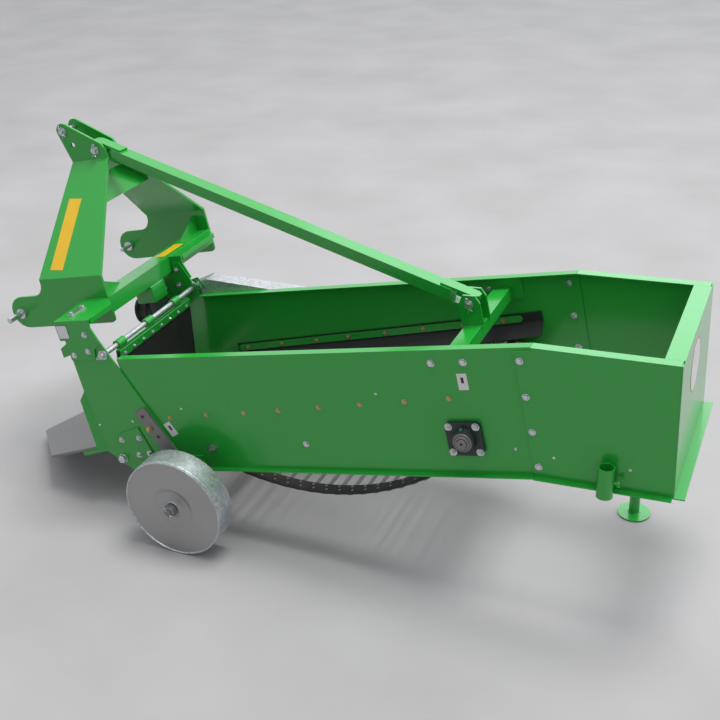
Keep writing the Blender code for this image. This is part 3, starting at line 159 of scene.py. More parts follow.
# %% Mottle
def mottle():
    """Slow and fine variation over a surface, both from 0 to 1."""
    tree, given, out = group("mottle", [("Scale", FLOAT, 12.0), ("Fine Scale", FLOAT, 900.0)],
                             [("Slow", FLOAT), ("Fine", FLOAT)])
    place = add(tree, "ShaderNodeTexCoord", (-700, 0)).outputs["Object"]
    for label, source, detail in (("Slow", "Scale", 4.0), ("Fine", "Fine Scale", 2.0)):
        cloud = add(tree, "ShaderNodeTexNoise", (-400, 0),
                    {"Vector": place, "Scale": given.outputs[source], "Detail": detail})
        plug(tree, cloud.outputs["Fac"], out.inputs[label])
    return tree


MOTTLE = mottle()
print("mottle:", len(MOTTLE.nodes), "nodes")

# %% [markdown]
# A machine that stands outside gathers dust low down.  The mask fades with height and a cloud breaks it up, which
# follows every piece alike and needs no painting by hand.

# %% Dust
def dust():
    """Where dust lies: more of it near the ground, broken up by a cloud."""
    tree, given, out = group("dust", [("Amount", FLOAT, 0.3), ("Height", FLOAT, 0.5)], [("Mask", FLOAT)])
    place = add(tree, "ShaderNodeTexCoord", (-900, -200)).outputs["Object"]
    split = add(tree, "ShaderNodeSeparateXYZ", (-700, -200), {"Vector": place})
    low = add(tree, "ShaderNodeMapRange", (-500, -200),
              {"Value": split.outputs["Z"], "From Min": given.outputs["Height"], "From Max": 0.0})
    cloud = add(tree, "ShaderNodeTexNoise", (-700, 100), {"Vector": place, "Scale": 14.0, "Detail": 6.0})
    patch = add(tree, "ShaderNodeMapRange", (-450, 100),
                {"Value": cloud.outputs["Fac"], "From Min": 0.40, "From Max": 0.75})
    both = add(tree, "ShaderNodeMath", (-200, 0), {0: low.outputs["Result"], 1: patch.outputs["Result"]},
               operation="MULTIPLY")
    scaled = add(tree, "ShaderNodeMath", (50, 0), {0: both.outputs["Value"], 1: given.outputs["Amount"]},
                 operation="MULTIPLY", use_clamp=True)
    plug(tree, scaled.outputs["Value"], out.inputs["Mask"])
    return tree


DUST = dust()
print("shader groups:", [g.name for g in bpy.data.node_groups])

# %% [markdown]
# One function makes every metal, paint and rubber finish, because they differ only in numbers: two tones that
# the mottle mixes, a tone for worn edges, roughness and its spread, and how deep the fine grain is.  The
# Principled shader itself stays in each material, with constant numbers on its own sockets.

# %% One recipe for finishes
DUST_TONE, GRAIN_DEPTH, COAT_ROUGHNESS = (0.30, 0.27, 0.23), 0.0008, 0.12


def finish(name, dark, light, edge=None, metallic=0.0, rough=(0.35, 0.45), slow=10.0, fine=900.0, grain=0.02,
           dusty=0.0, radius=0.0015, coat=0.0):
    """A procedural finish; colours are linear, and rough is (smoothest, roughest)."""
    made = bpy.data.materials.new(name)
    made.use_nodes = True
    tree = made.node_tree
    tree.nodes.clear()

    def tint(below, above, mask, x):
        return add(tree, "ShaderNodeMix", (x, 300), {"A": below, "B": (*above, 1), "Factor": mask},
                   data_type="RGBA").outputs["Result"]

    cloud = add(tree, "ShaderNodeGroup", (-600, 200), node_tree=MOTTLE, feeds={"Scale": slow, "Fine Scale": fine})
    edges = add(tree, "ShaderNodeGroup", (-600, -200), node_tree=ROLLED_EDGE, feeds={"Radius": radius})
    colour = tint((*dark, 1), light, cloud.outputs["Slow"], -300)
    if edge:
        colour = tint(colour, edge, edges.outputs["Edge"], -50)
    if dusty:
        dirt = add(tree, "ShaderNodeGroup", (-300, 50), node_tree=DUST, feeds={"Amount": dusty})
        colour = tint(colour, DUST_TONE, dirt.outputs["Mask"], 200)
    spread = add(tree, "ShaderNodeMapRange", (200, 0),
                 {"To Min": rough[0], "To Max": rough[1], "Value": cloud.outputs["Slow"]})
    bump = add(tree, "ShaderNodeBump", (200, -250), {"Strength": grain, "Distance": GRAIN_DEPTH,
                                                     "Height": cloud.outputs["Fine"],
                                                     "Normal": edges.outputs["Normal"]})
    shader = add(tree, "ShaderNodeBsdfPrincipled", (600, 0), {
        "Base Color": colour, "Metallic": metallic, "Roughness": spread.outputs["Result"],
        "Normal": bump.outputs["Normal"], "Coat Weight": coat, "Coat Roughness": COAT_ROUGHNESS})
    add(tree, "ShaderNodeOutputMaterial", (900, 0), {"Surface": shader.outputs["BSDF"]})
    return made


GREEN_PAINT = finish("green_paint", (0.011, 0.320, 0.028), (0.014, 0.350, 0.034), edge=(0.030, 0.43, 0.060),
                     rough=(0.22, 0.27), slow=3.0, fine=700.0, grain=0.03, dusty=0.05, coat=0.45)
ZINC_DISC = finish("zinc_disc", (0.35, 0.35, 0.35), (0.45, 0.45, 0.45), edge=(0.62, 0.63, 0.65),
                   metallic=0.75, rough=(0.40, 0.52), slow=7.0, fine=500.0, grain=0.10, dusty=0.12)
BARE_STEEL = finish("bare_steel", (0.20, 0.195, 0.195), (0.27, 0.265, 0.262), edge=(0.42, 0.42, 0.42),
                    metallic=0.6, rough=(0.42, 0.60), slow=9.0, fine=400.0, grain=0.12, dusty=0.15)
BOLT_ZINC = finish("bolt_zinc", (0.52, 0.54, 0.56), (0.68, 0.70, 0.72), metallic=0.9, rough=(0.16, 0.26),
                   slow=60.0, fine=1500.0, grain=0.05, radius=0.0006)
YELLOW_ZINC = finish("yellow_zinc", (0.46, 0.33, 0.14), (0.62, 0.50, 0.26), metallic=0.85, rough=(0.30, 0.42),
                     slow=90.0, fine=1500.0, grain=0.05, radius=0.0005)
RUBBER = finish("black_rubber", (0.010, 0.010, 0.010), (0.020, 0.020, 0.019), edge=(0.035, 0.035, 0.034),
                rough=(0.55, 0.75), slow=16.0, fine=1200.0, grain=0.25, dusty=0.2)
CAST_IRON = finish("cast_iron", (0.012, 0.022, 0.018), (0.020, 0.036, 0.030), edge=(0.06, 0.09, 0.08),
                   rough=(0.35, 0.5), slow=40.0, fine=450.0, grain=0.35)
BLACK_PLASTIC = finish("black_plastic", (0.008, 0.008, 0.008), (0.014, 0.014, 0.014), edge=(0.03, 0.03, 0.03),
                       rough=(0.40, 0.55), slow=30.0, fine=1000.0, grain=0.15)
print("finishes:", [m.name for m in bpy.data.materials])

# %% [markdown]
# Hot-dip galvanising leaves crystals, the spangle: patches a few millimetres to a centimetre across, each with
# its own grey and its own gloss.  Voronoi cells give the greys from one node, and they are multiplied into the
# colour of an ordinary metal finish.

# %% Galvanised steel
def galvanised(name, dark, light, cell=140.0, dusty=0.3):
    """A dipped metal whose colour is multiplied by the greys of its crystals; cell is how many to a metre."""
    made = finish(name, dark, light, edge=(0.70, 0.72, 0.74), metallic=0.8, rough=(0.36, 0.52), slow=12.0,
                  fine=320.0, grain=0.22, dusty=dusty)
    tree = made.node_tree
    colour = next(n for n in tree.nodes if n.type == "BSDF_PRINCIPLED").inputs["Base Color"]
    place = add(tree, "ShaderNodeTexCoord", (-900, 600)).outputs["Object"]
    cells = add(tree, "ShaderNodeTexVoronoi", (-600, 600), {"Vector": place, "Scale": cell})
    grey = add(tree, "ShaderNodeSeparateColor", (-350, 600), {"Color": cells.outputs["Color"]})
    value = add(tree, "ShaderNodeMapRange", (-100, 600),
                {"To Min": 0.80, "To Max": 1.12, "Value": grey.outputs["Red"]})
    spangle = add(tree, "ShaderNodeMix", (400, 500), {
        "Factor": 1.0, "A": colour.links[0].from_socket, "B": value.outputs["Result"]},
        data_type="RGBA", blend_type="MULTIPLY")
    plug(tree, spangle.outputs["Result"], colour)
    return made


GALVANISED = galvanised("galvanised", (0.50, 0.515, 0.53), (0.64, 0.655, 0.67))
GALVANISED_ROUGH = galvanised("galvanised_rough", (0.40, 0.43, 0.45), (0.72, 0.76, 0.79), cell=110.0, dusty=0.25)
print("galvanised finishes made")

# %% [markdown]
# ## Dressing the solids
#
# Most solids already have the right shape, so they only need a finish.  Pieces that a richer one replaces are
# left out of this list.

# %% Finishes of the CAD nodes
DRESS = {
    GREEN_PAINT: ["main_panel_left", "main_panel_right", "rear_side_left", "rear_side_right", "rear_plate",
                  "cheek_left", "cheek_right", "headstock_leg_left", "headstock_leg_right", "leg_tie",
                  "crossbeam", "beam_bracket_left", "beam_bracket_right", "top_brace", "crossbar",
                  "return_bracket_left", "return_bracket_right", "clamp_bar_left", "clamp_bar_right",
                  "share_frame", "stand_socket_left", "stand_socket_right", "parking_stand", "curtain_hanger"],
    GALVANISED: ["drive_guard", "curtain_rod"],
    BARE_STEEL: ["share", "wheel_arm_left", "wheel_arm_right", "drive_shaft", "front_roller",
                 "carrier_rollers", "return_roller", "power_stub"],
    BOLT_ZINC: ["hitch_pin_left", "hitch_pin_right", "top_link_pin", "brace_pin_front", "brace_pin_rear"],
    RUBBER: ["seal_strip_left", "seal_strip_right"],
    CAST_IRON: ["bearing_left", "bearing_right"],
    BLACK_PLASTIC: ["cross_shaft"],
}
for material, names in DRESS.items():
    for name in names:
        mesh = frame["nodes"][name].data
        mesh.materials.clear()
        mesh.materials.append(material)
print("dressed", sum(len(names) for names in DRESS.values()), "of", len(frame["nodes"]), "nodes")

# %% [markdown]
# ## Fasteners
#
# A machine like this is bolted together, and its scale is read from its bolts.  Each kind of fastener is made
# once, and Geometry Nodes copies it to every point where one sits.  A point carries one attribute, `facing`: a
# rotation that takes the bolt's own Z axis to the way it looks.  The modifier's result is then turned into a
# plain mesh, so that nothing is left live on the piece.

# %% Helpers for Geometry Nodes trees
def geometry_tree(name, inputs):
    """An empty tree that takes loose points and the named sizes, and ends in a material called Metal."""
    tree = bpy.data.node_groups.new(name, "GeometryNodeTree")
    tree.interface.new_socket("Geometry", in_out="INPUT", socket_type="NodeSocketGeometry")
    for label, default in inputs:
        tree.interface.new_socket(label, in_out="INPUT", socket_type=FLOAT).default_value = default
    tree.interface.new_socket("Metal", in_out="INPUT", socket_type="NodeSocketMaterial")
    tree.interface.new_socket("Geometry", in_out="OUTPUT", socket_type="NodeSocketGeometry")
    return tree, add(tree, "NodeGroupInput", (-1400, 0)), add(tree, "NodeGroupOutput", (1400, 0))


def joined(tree, parts, at_xy):
    """All the parts as one geometry."""
    whole = add(tree, "GeometryNodeJoinGeometry", at_xy)
    for part in parts:
        plug(tree, part, whole.inputs["Geometry"])
    return whole.outputs["Geometry"]


def copy_to_points(tree, given, out, shape, smooth=False, **more):
    """Puts the shape on every point, turned as the point's `facing` says, and makes the copies real."""
    facing = add(tree, "GeometryNodeInputNamedAttribute", (150, -150), {"Name": "facing"}, data_type="QUATERNION")
    copies = add(tree, "GeometryNodeInstanceOnPoints", (400, 0), {
        "Points": given.outputs["Geometry"], "Instance": shape, "Rotation": facing.outputs["Attribute"], **more})
    last = add(tree, "GeometryNodeRealizeInstances", (600, 0), {"Geometry": copies.outputs["Instances"]})
    if smooth:
        last = add(tree, "GeometryNodeSetShadeSmooth", (800, 0), {"Geometry": last.outputs["Geometry"]})
    paint = add(tree, "GeometryNodeSetMaterial", (1000, 0), {
        "Geometry": last.outputs["Geometry"], "Material": given.outputs["Metal"]})
    plug(tree, paint.outputs["Geometry"], out.inputs["Geometry"])
    return tree


print("tree helpers: geometry_tree, joined, copy_to_points")

# %% [markdown]
# A tree acts on an object, so each run makes a mesh of loose points, puts the tree on it as a modifier and reads
# the result back.  The operator that applies a modifier would do the same, but it needs a selection.

# %% Running a tree
def loose_points(name, places):
    """A mesh of loose points from (place, rotation) pairs; each copy takes its point's rotation."""
    mesh = bpy.data.meshes.new(name)
    mesh.from_pydata([tuple(p) for p, _ in places], [], [])
    facing = mesh.attributes.new("facing", "QUATERNION", "POINT")
    for i, (_, turn) in enumerate(places):
        facing.data[i].value = turn
    return mesh


def plain_copy(name, source):
    """The evaluated object as a plain mesh on a new object; the source is removed."""
    shown = source.evaluated_get(bpy.context.evaluated_depsgraph_get())
    mesh = bpy.data.meshes.new_from_object(shown)
    bpy.data.objects.remove(source)
    piece = bpy.data.objects.new(name, mesh)
    mesh.name = name
    scene.collection.objects.link(piece)
    return piece


def grow(name, places, tree, **values):
    """Runs the tree on loose points with its named inputs set, and keeps the result as a plain mesh."""
    seed = bpy.data.objects.new(name + "_seed", loose_points(name, places))
    scene.collection.objects.link(seed)
    live = seed.modifiers.new("grow", "NODES")
    live.node_group = tree
    for item in tree.interface.items_tree:
        if item.item_type == "SOCKET" and item.in_out == "INPUT" and item.name in values:
            live[item.identifier] = values.pop(item.name)
    if values:
        raise ValueError(f"{tree.name} has no input called {list(values)}")
    return plain_copy(name, seed)


def settle(piece, body="frame"):
    """What every new piece needs: the body it rides on."""
    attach(piece, body)
    return piece


print("loose points grow into plain meshes by grow and settle")

# %% [markdown]
# A bolt that shows is a washer, a chamfered hexagon and sometimes the end of its stud.  It could be a modelled
# bolt that is scaled, but then its washer would scale too.  A tree of one circle and two cylinders takes every
# size as an input, so it makes every screw, bolt, nut and blind rivet here.

# %% The fastener tree
HEXAGON_CORNER, CHAMFER = 0.57735, 0.84     # corner radius for a width of 1 across flats; how far the crown narrows


def fastener_tree():
    """Washer, chamfered hexagon and stud end, one on each point."""
    tree, given, out = geometry_tree("fastener", [
        ("Across", 0.013), ("Head", 0.0055), ("Washer", 0.0085), ("Plate", 0.0016), ("Stud", 0.0),
        ("Stud Radius", 0.004)])
    across, head, washer, base, stud, thread = (given.outputs[n] for n in (
        "Across", "Head", "Washer", "Plate", "Stud", "Stud Radius"))

    def number(operation, a, b, y):
        return add(tree, "ShaderNodeMath", (-1150, y), {0: a, 1: b}, operation=operation).outputs["Value"]

    def lifted(geometry, height, at_xy):
        place = add(tree, "ShaderNodeCombineXYZ", (at_xy[0] - 180, at_xy[1] - 150), {"Z": height})
        return add(tree, "GeometryNodeTransform", at_xy, {
            "Geometry": geometry, "Translation": place.outputs["Vector"]}).outputs["Geometry"]

    hexagon = add(tree, "GeometryNodeMeshCircle", (-900, 400), {
        "Vertices": 6, "Radius": number("MULTIPLY", across, HEXAGON_CORNER, 400)}, fill_type="NGON")
    shank = add(tree, "GeometryNodeExtrudeMesh", (-700, 400), {
        "Mesh": hexagon.outputs["Mesh"], "Offset Scale": number("MULTIPLY", head, 0.80, 300)}, mode="FACES")
    crown = add(tree, "GeometryNodeExtrudeMesh", (-500, 400), {
        "Mesh": shank.outputs["Mesh"], "Selection": shank.outputs["Top"],
        "Offset Scale": number("MULTIPLY", head, 0.20, 200)}, mode="FACES")
    narrow = add(tree, "GeometryNodeScaleElements", (-300, 400), {
        "Geometry": crown.outputs["Mesh"], "Selection": crown.outputs["Top"], "Scale": CHAMFER}, domain="FACE")
    ring = add(tree, "GeometryNodeMeshCylinder", (-700, 0), {"Vertices": 20, "Radius": washer, "Depth": base})
    length = number("ADD", number("MULTIPLY", head, 0.9, -200), stud, -300)
    end = add(tree, "GeometryNodeMeshCylinder", (-700, -300), {"Vertices": 12, "Radius": thread, "Depth": length})
    parts = [lifted(narrow.outputs["Geometry"], base, (-100, 400)),
             lifted(ring.outputs["Mesh"], number("MULTIPLY", base, 0.5, 0), (-400, 0)),
             lifted(end.outputs["Mesh"], number("ADD", number("MULTIPLY", length, 0.5, -400), base, -500),
                    (-400, -300))]
    return copy_to_points(tree, given, out, joined(tree, parts, (-50, 100)))


FASTENER = fastener_tree()
print("fastener tree:", len(FASTENER.nodes), "nodes")

# %% [markdown]
# Nobody tightens every bolt to the same angle, so each hexagon is turned a little further than the last, by the
# golden angle, which never repeats.  The sizes below are those of metric bolts: width across flats, height of
# the head, radius and thickness of the washer, and radius of the thread.

# %% Placing fasteners
GOLDEN = 2.39996


def fasteners(name, places, metal=BOLT_ZINC, slot="zinc", body="frame", **sizes):
    """One fastener at each (place, way it faces)."""
    turned = [(place, Vector(way).to_track_quat("Z", "Y") @ Matrix.Rotation(i * GOLDEN, 3, "Z").to_quaternion())
              for i, (place, way) in enumerate(places)]
    return settle(grow(name, turned, FASTENER, Metal=metal, **sizes), body)


M6 = {"Across": 0.011, "Head": 0.0042, "Washer": 0.0088, "Plate": 0.0014, "Stud Radius": 0.003}
M8 = {"Across": 0.0145, "Head": 0.0062, "Washer": 0.0115, "Plate": 0.0020, "Stud Radius": 0.004}
M10 = {"Across": 0.017, "Head": 0.0070, "Washer": 0.0125, "Plate": 0.0022, "Stud Radius": 0.005}
M12 = {"Across": 0.018, "Head": 0.0078, "Washer": 0.0125, "Plate": 0.0025, "Stud Radius": 0.006}

SEAM = [(-0.018, 0.384), (-0.018, 0.268), (-0.018, 0.151), (-0.018, 0.032)]
SEAL = [(1.281, 0.195), (1.126, 0.207), (0.973, 0.214), (0.836, 0.223), (0.682, 0.234), (0.531, 0.244),
        (0.376, 0.253), (0.226, 0.263)]
BAR_BOLTS = [(0.260, 0.382), (0.157, 0.383)]
CHEEK_BOLTS = [(1.520, 0.528), (1.528, 0.465), (1.595, 0.452)]
PATCH_BOLTS = [(1.516, 0.112), (1.436, 0.120), (1.460, 0.051), (1.412, 0.058)]
BEARING_U, BEARING_V = 0.197, 0.129
BEARING_BOLTS = [(BEARING_U + du, BEARING_V + dv) for du in (-0.044, 0.044) for dv in (-0.044, 0.044)]


def row(spots, y, way):
    """Places in one upright plane, all facing one way."""
    return [(at(u, y, v), way) for u, v in spots]


for word, side in SIDES.items():
    out = Vector((0, side, 0))
    fasteners(f"seam_bolts_{word}", row(SEAM, side * REAR_Y, out), **M8)
    fasteners(f"seam_nuts_{word}", row(SEAM, side * PANEL_IN, -out), Stud=0.006, **M8)
    fasteners(f"crossbar_bolts_{word}", row(BAR_BOLTS, side * PANEL_Y, out), **M10)
    fasteners(f"panel_bolt_{word}", row([(0.764, 0.098)], side * PANEL_Y, out), **M8)
    fasteners(f"bearing_bolts_{word}", row(BEARING_BOLTS, side * BEARING_Y, out), Stud=0.005, **M10)
    fasteners(f"carrier_nut_{word}", row([(1.139, 0.0785)], side * PANEL_Y, out), Stud=0.014, **M12)
    fasteners(f"cheek_bolts_{word}", row(CHEEK_BOLTS, side * BRACKET_Y, out), **M8)
    fasteners(f"roller_bolt_{word}", row([(1.541, 0.033)], side * CHEEK_Y, out), Across=0.028, Head=0.014,
              Washer=0.018, Plate=0.003)
    fasteners(f"seal_screws_{word}", row(SEAL, side * PANEL_Y, out), metal=YELLOW_ZINC, Stud=0.003, **M6)
    fasteners(f"seal_heads_{word}", row(SEAL, side * CLAMP_Y, -out), metal=YELLOW_ZINC, **M6)
print("rows of fasteners placed on both sides")

# %% [markdown]
# ## The web
#
# The web is what lifts the crop and lets the soil fall through: round bars riveted across two flat rubber belts.
# The belts are swept along their loop, because a rectangle has to keep its flat side on the rollers.  The bars are
# all alike, so Geometry Nodes puts one, with its flattened ends and rivets, at every step of the loop.

# %% The loop that the belts run on
BELT, BELT_WIDE, WEB_EDGE, PITCH = 0.008, 0.050, 0.250, 0.050
FRONT, DRIVE, HOME = (1.541, 0.033, 0.0393), (0.197, 0.129, 0.0643), (1.213, -0.012, 0.0356)
SAG = 0.165


def leaving(c1, r1, c2, r2):
    """The course of a belt from one circle to the next; a negative radius turns the other way."""
    along = atan2(c2[1] - c1[1], c2[0] - c1[0])
    return along + asin((r1 - r2) / hypot(c2[0] - c1[0], c2[1] - c1[1]))


def sweep(centre, radius, start, end, steps):
    angles = [start + (end - start) * k / steps for k in range(steps + 1)]
    return [(centre[0] + radius * cos(a), centre[1] + radius * sin(a)) for a in angles]


def loop():
    """Back along the top, round the drive, down in a sag, over the return roller and home."""
    top = leaving(FRONT, FRONT[2], DRIVE, DRIVE[2])
    home = leaving(HOME, -HOME[2], FRONT, FRONT[2])
    slope = atan2(4 * SAG, HOME[0] - DRIVE[0])
    line = sweep(FRONT, FRONT[2], home - pi / 2, top - pi / 2, 16)
    line += sweep(DRIVE, DRIVE[2], top - pi / 2, 3 * pi / 2 - slope, 20)
    start, rise = line[-1], sweep(HOME, HOME[2], pi / 2 + slope * 0.9, pi / 2 + home, 6)
    for k in range(1, 40):
        t = k / 40
        line.append((start[0] + (rise[0][0] - start[0]) * t,
                     start[1] + (rise[0][1] - start[1]) * t - 4 * SAG * t * (1 - t)))
    return line + rise


def even(line, pitch):
    """The closed line again, with points at even steps."""
    closed = line + line[:1]
    runs = [hypot(b[0] - a[0], b[1] - a[1]) for a, b in zip(closed, closed[1:])]
    count = round(sum(runs) / pitch)
    step, places, travelled, k = sum(runs) / count, [], 0.0, 0
    for a, b, run in zip(closed, closed[1:], runs):
        while k < count and k * step <= travelled + run:
            t = (k * step - travelled) / run
            places.append((a[0] + (b[0] - a[0]) * t, a[1] + (b[1] - a[1]) * t))
            k += 1
        travelled += run
    return places


belt_line = even(loop(), PITCH / 4)
print("web loop", len(belt_line), "points")

# %% [markdown]
# A belt has a flat section with chamfered corners.  A curve with a bevel would let the section twist, so the eight
# corners are placed one by one at every point of the loop, square to its course.

# %% Belts
def object_from(name, bm, metal):
    """Turns a bmesh into an object at the origin."""
    mesh = bpy.data.meshes.new(name)
    bm.to_mesh(mesh)
    bm.free()
    mesh.materials.append(metal)
    piece = bpy.data.objects.new(name, mesh)
    scene.collection.objects.link(piece)
    return piece


def frame_of(line, i):
    """Course of a closed line at a point, and the direction out of the loop, in the world."""
    (u0, v0), (u1, v1) = line[i - 1], line[(i + 1) % len(line)]
    size = hypot(u1 - u0, v1 - v0)
    course = toward((u1 - u0) / size, 0, (v1 - v0) / size)
    return course, toward((v1 - v0) / size, 0, -(u1 - u0) / size)


CHAMFER_WIDE, CHAMFER_FROM = 0.0015, 0.6     # across the belt, and where it starts, as a share of half its thickness
bm = bmesh.new()
for side in (-1, 1):
    near, far = side * (WEB_EDGE - BELT_WIDE), side * WEB_EDGE
    inside, outside = near + side * CHAMFER_WIDE, far - side * CHAMFER_WIDE
    section = [(inside, 1), (outside, 1), (far, CHAMFER_FROM), (far, -CHAMFER_FROM), (outside, -1), (inside, -1),
               (near, -CHAMFER_FROM), (near, CHAMFER_FROM)]
    rings = []
    for i, (u, v) in enumerate(belt_line):
        course, outward = frame_of(belt_line, i)
        rings.append([bm.verts.new(at(u, y, v) + outward * BELT / 2 * lift) for y, lift in section])
    for a, b in zip(rings, rings[1:] + rings[:1]):
        for k in range(len(section)):
            j = (k + 1) % len(section)
            bm.faces.new((a[k], a[j], b[j], b[k]))
bmesh.ops.recalc_face_normals(bm, faces=bm.faces)
belts = settle(object_from("web_belts", bm, RUBBER), "frame")
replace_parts(belts, "web")
print("belts:", len(belts.data.polygons), "faces")

# %% [markdown]
# Each bar is a steel rod whose ends are pressed flat and riveted through the belt with two rivets, one behind
# the other and a little staggered.  The tree makes one bar from four kinds of simple shapes.

# %% Bars with their rivets
BAR_LIFT, PAD, RIVET_RADIUS, RIVET_SIDES = 0.0032, (0.020, 0.048, 0.0046), 0.0052, 10


def web_bar_tree():
    """A round bar with flattened, riveted ends on each point: X along the belt, Y across, Z out of the loop."""
    tree, given, out = geometry_tree("web_bar", [("Length", 0.470), ("Radius", 0.0062)])

    def placed(kind, at_xy, feeds, **place):
        shape = add(tree, kind, at_xy, feeds)
        return add(tree, "GeometryNodeTransform", (at_xy[0] + 250, at_xy[1]), {
            "Geometry": shape.outputs["Mesh"], **place}).outputs["Geometry"]

    parts = [placed("GeometryNodeMeshCylinder", (-900, 400), {
        "Vertices": 10, "Radius": given.outputs["Radius"], "Depth": given.outputs["Length"]},
        Rotation=(pi / 2, 0, 0), Translation=(0, 0, BAR_LIFT))]
    for side in (-1, 1):
        parts.append(placed("GeometryNodeMeshCube", (-900, 100 * side), {"Size": PAD}, Translation=(
            0, side * (WEB_EDGE - BELT_WIDE / 2 - 0.003), BELT / 2 + 0.0016)))
        for along, step in ((0.0050, 0.014), (-0.0050, -0.008)):
            for lift in (BELT / 2 + 0.0036, -BELT / 2 + 0.0006):
                parts.append(placed("GeometryNodeMeshUVSphere", (-900, -300), {
                    "Segments": RIVET_SIDES, "Rings": 5, "Radius": RIVET_RADIUS}, Scale=(1, 1, 0.5),
                    Translation=(along, side * (WEB_EDGE - BELT_WIDE / 2) + step, lift)))
    return copy_to_points(tree, given, out, joined(tree, parts, (-300, 0)))


bar_places = []
for i in range(0, len(belt_line) - 3, 4):
    course, outward = frame_of(belt_line, i)
    axes = Matrix((course, outward.cross(course), outward)).transposed()
    bar_places.append((at(belt_line[i][0], 0, belt_line[i][1]), axes.to_quaternion()))
bars = settle(grow("web_bars", bar_places, web_bar_tree(), Metal=BARE_STEEL), "frame")
print("web bars:", len(bar_places), "triangles:", sum(len(p.vertices) - 2 for p in bars.data.polygons))

# %% [markdown]
# ## Wheels
#
# Each depth wheel is a drum pressed from sheet, with a dished disc set a little inside the drum's edge.  A
# turned shape is a profile swept round an axis; the profile's small steps are what the light picks out.  The
# Spin operator could do it, but a few lines of our own keep the poles and the sharp edges in hand.

# %% Turned shapes
def lathe(name, profile, axis_at, axis, material, segments=96, hard=radians(32)):
    """Sweeps (radius, along) points round an axis; a radius of 0 closes the shape there."""
    axis = Vector(axis).normalized()
    first = axis.orthogonal().normalized()
    second = axis.cross(first)
    bm = bmesh.new()
    rings = []
    for radius, along in profile:
        base = Vector(axis_at) + axis * along
        if radius == 0:
            rings.append([bm.verts.new(base)])
            continue
        rings.append([bm.verts.new(base + (first * cos(a) + second * sin(a)) * radius)
                      for a in (2 * pi * k / segments for k in range(segments))])
    for a, b in zip(rings, rings[1:]):
        for k in range(segments):
            j = (k + 1) % segments
            if len(a) == 1 and len(b) == 1:
                break
            if len(a) == 1:
                bm.faces.new((a[0], b[j], b[k]))
            elif len(b) == 1:
                bm.faces.new((a[k], a[j], b[0]))
            else:
                bm.faces.new((a[k], a[j], b[j], b[k]))
    bmesh.ops.remove_doubles(bm, verts=bm.verts, dist=1e-6)
    bmesh.ops.recalc_face_normals(bm, faces=bm.faces)
    for face in bm.faces:
        face.smooth = True
    for edge in bm.edges:
        if len(edge.link_faces) == 2 and edge.calc_face_angle() > hard:
            edge.smooth = False
    return object_from(name, bm, material)


print("turned shapes: lathe")

# %% [markdown]
# The disc of a wheel is rolled, dull zinc, and its drum is dipped, with a coarse spangle.  One swept profile
# makes both, and each face takes its material from how far it is from the axle.

# %% Depth wheels
RIM, WIDE, OUTER, SHELL = 0.185, 0.090, 0.4663, 0.004
DIPPED = RIM - 0.0062     # faces farther from the axle than this belong to the drum
# Round the section, from the drum's inner edge: radius, and how far in from the wheel's outer face.
SECTION = [(RIM - 0.0015, WIDE), (RIM, WIDE - 0.0015), (RIM, 0.0100), (RIM - 0.0012, 0.0085),
           (RIM - 0.0012, 0.0050), (RIM - 0.0004, 0.0035), (RIM - 0.0004, 0.0010), (RIM - 0.0014, 0),
           (RIM - 0.0046, 0), (RIM - 0.0056, 0.0015), (RIM - 0.0066, 0.0040), (RIM - 0.0100, 0.0046),
           (0.086, 0.0030), (0.080, 0.0034), (0.074, 0.0056), (0.068, 0.0086), (0.063, 0.0094), (0.040, 0.0094),
           (0.034, 0.0086), (0.029, 0.0050), (0.0265, 0.0015), (0.0160, 0.0012), (0.0160, WIDE), (0.025, WIDE),
           (0.025, 0.015), (0.060, 0.0140), (0.080, 0.0080), (RIM - 0.012, 0.0090), (RIM - SHELL, 0.014),
           (RIM - SHELL, WIDE), (RIM - 0.0015, WIDE)]
for word, side in SIDES.items():
    wheel = lathe(f"wheel_drum_{word}", [(r, side * (OUTER - deep)) for r, deep in SECTION],
                  at(WHEEL_U, 0, WHEEL_V), LEFT, ZINC_DISC)
    wheel.data.materials.append(GALVANISED_ROUGH)
    for face in wheel.data.polygons:
        reach = (face.center - at(WHEEL_U, face.center.y - origin.y, WHEEL_V)).length
        face.material_index = int(reach > DIPPED)
    settle(wheel, f"wheel_{word}")
    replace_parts(wheel, f"depth_wheel_{word}")
print("wheels turned")

# %% [markdown]
# ## Plates, labels and patches
#
# Thin flat things sit on the sheet metal: blank labels, a patch plate, clamp strips.  `plate` stands one on a
# surface from its corners and the way it faces, and rolls its upper edge.

# %% Flat things
def plate(name, corners, way, thick, metal, body="frame", roll=0.0006):
    """A flat plate on a surface: world corners in order, the way it faces and its thickness."""
    way = Vector(way).normalized()
    bm = bmesh.new()
    low = [bm.verts.new(Vector(c) + way * 0.0001) for c in corners]
    high = [bm.verts.new(Vector(c) + way * thick) for c in corners]
    bm.faces.new(low)
    roof = bm.faces.new(high)
    for a, b, c, d in zip(low, low[1:] + low[:1], high[1:] + high[:1], high):
        bm.faces.new((a, b, c, d))
    bmesh.ops.bevel(bm, geom=list(roof.edges), offset=min(roll, thick * 0.6), segments=2, affect="EDGES")
    bmesh.ops.recalc_face_normals(bm, faces=bm.faces)
    return settle(object_from(name, bm, metal), body)


def rounded(middle, half, radius, turn=0.0):
    """A rectangle with rounded corners as (u, v) points."""
    points = []
    for quarter, (sx, sy) in enumerate(((1, 1), (-1, 1), (-1, -1), (1, -1))):
        for k in range(5):
            a = pi / 2 * (quarter + k / 4)
            x, y = sx * (half[0] - radius) + radius * cos(a), sy * (half[1] - radius) + radius * sin(a)
            points.append((middle[0] + x * cos(turn) - y * sin(turn), middle[1] + x * sin(turn) + y * cos(turn)))
    return points


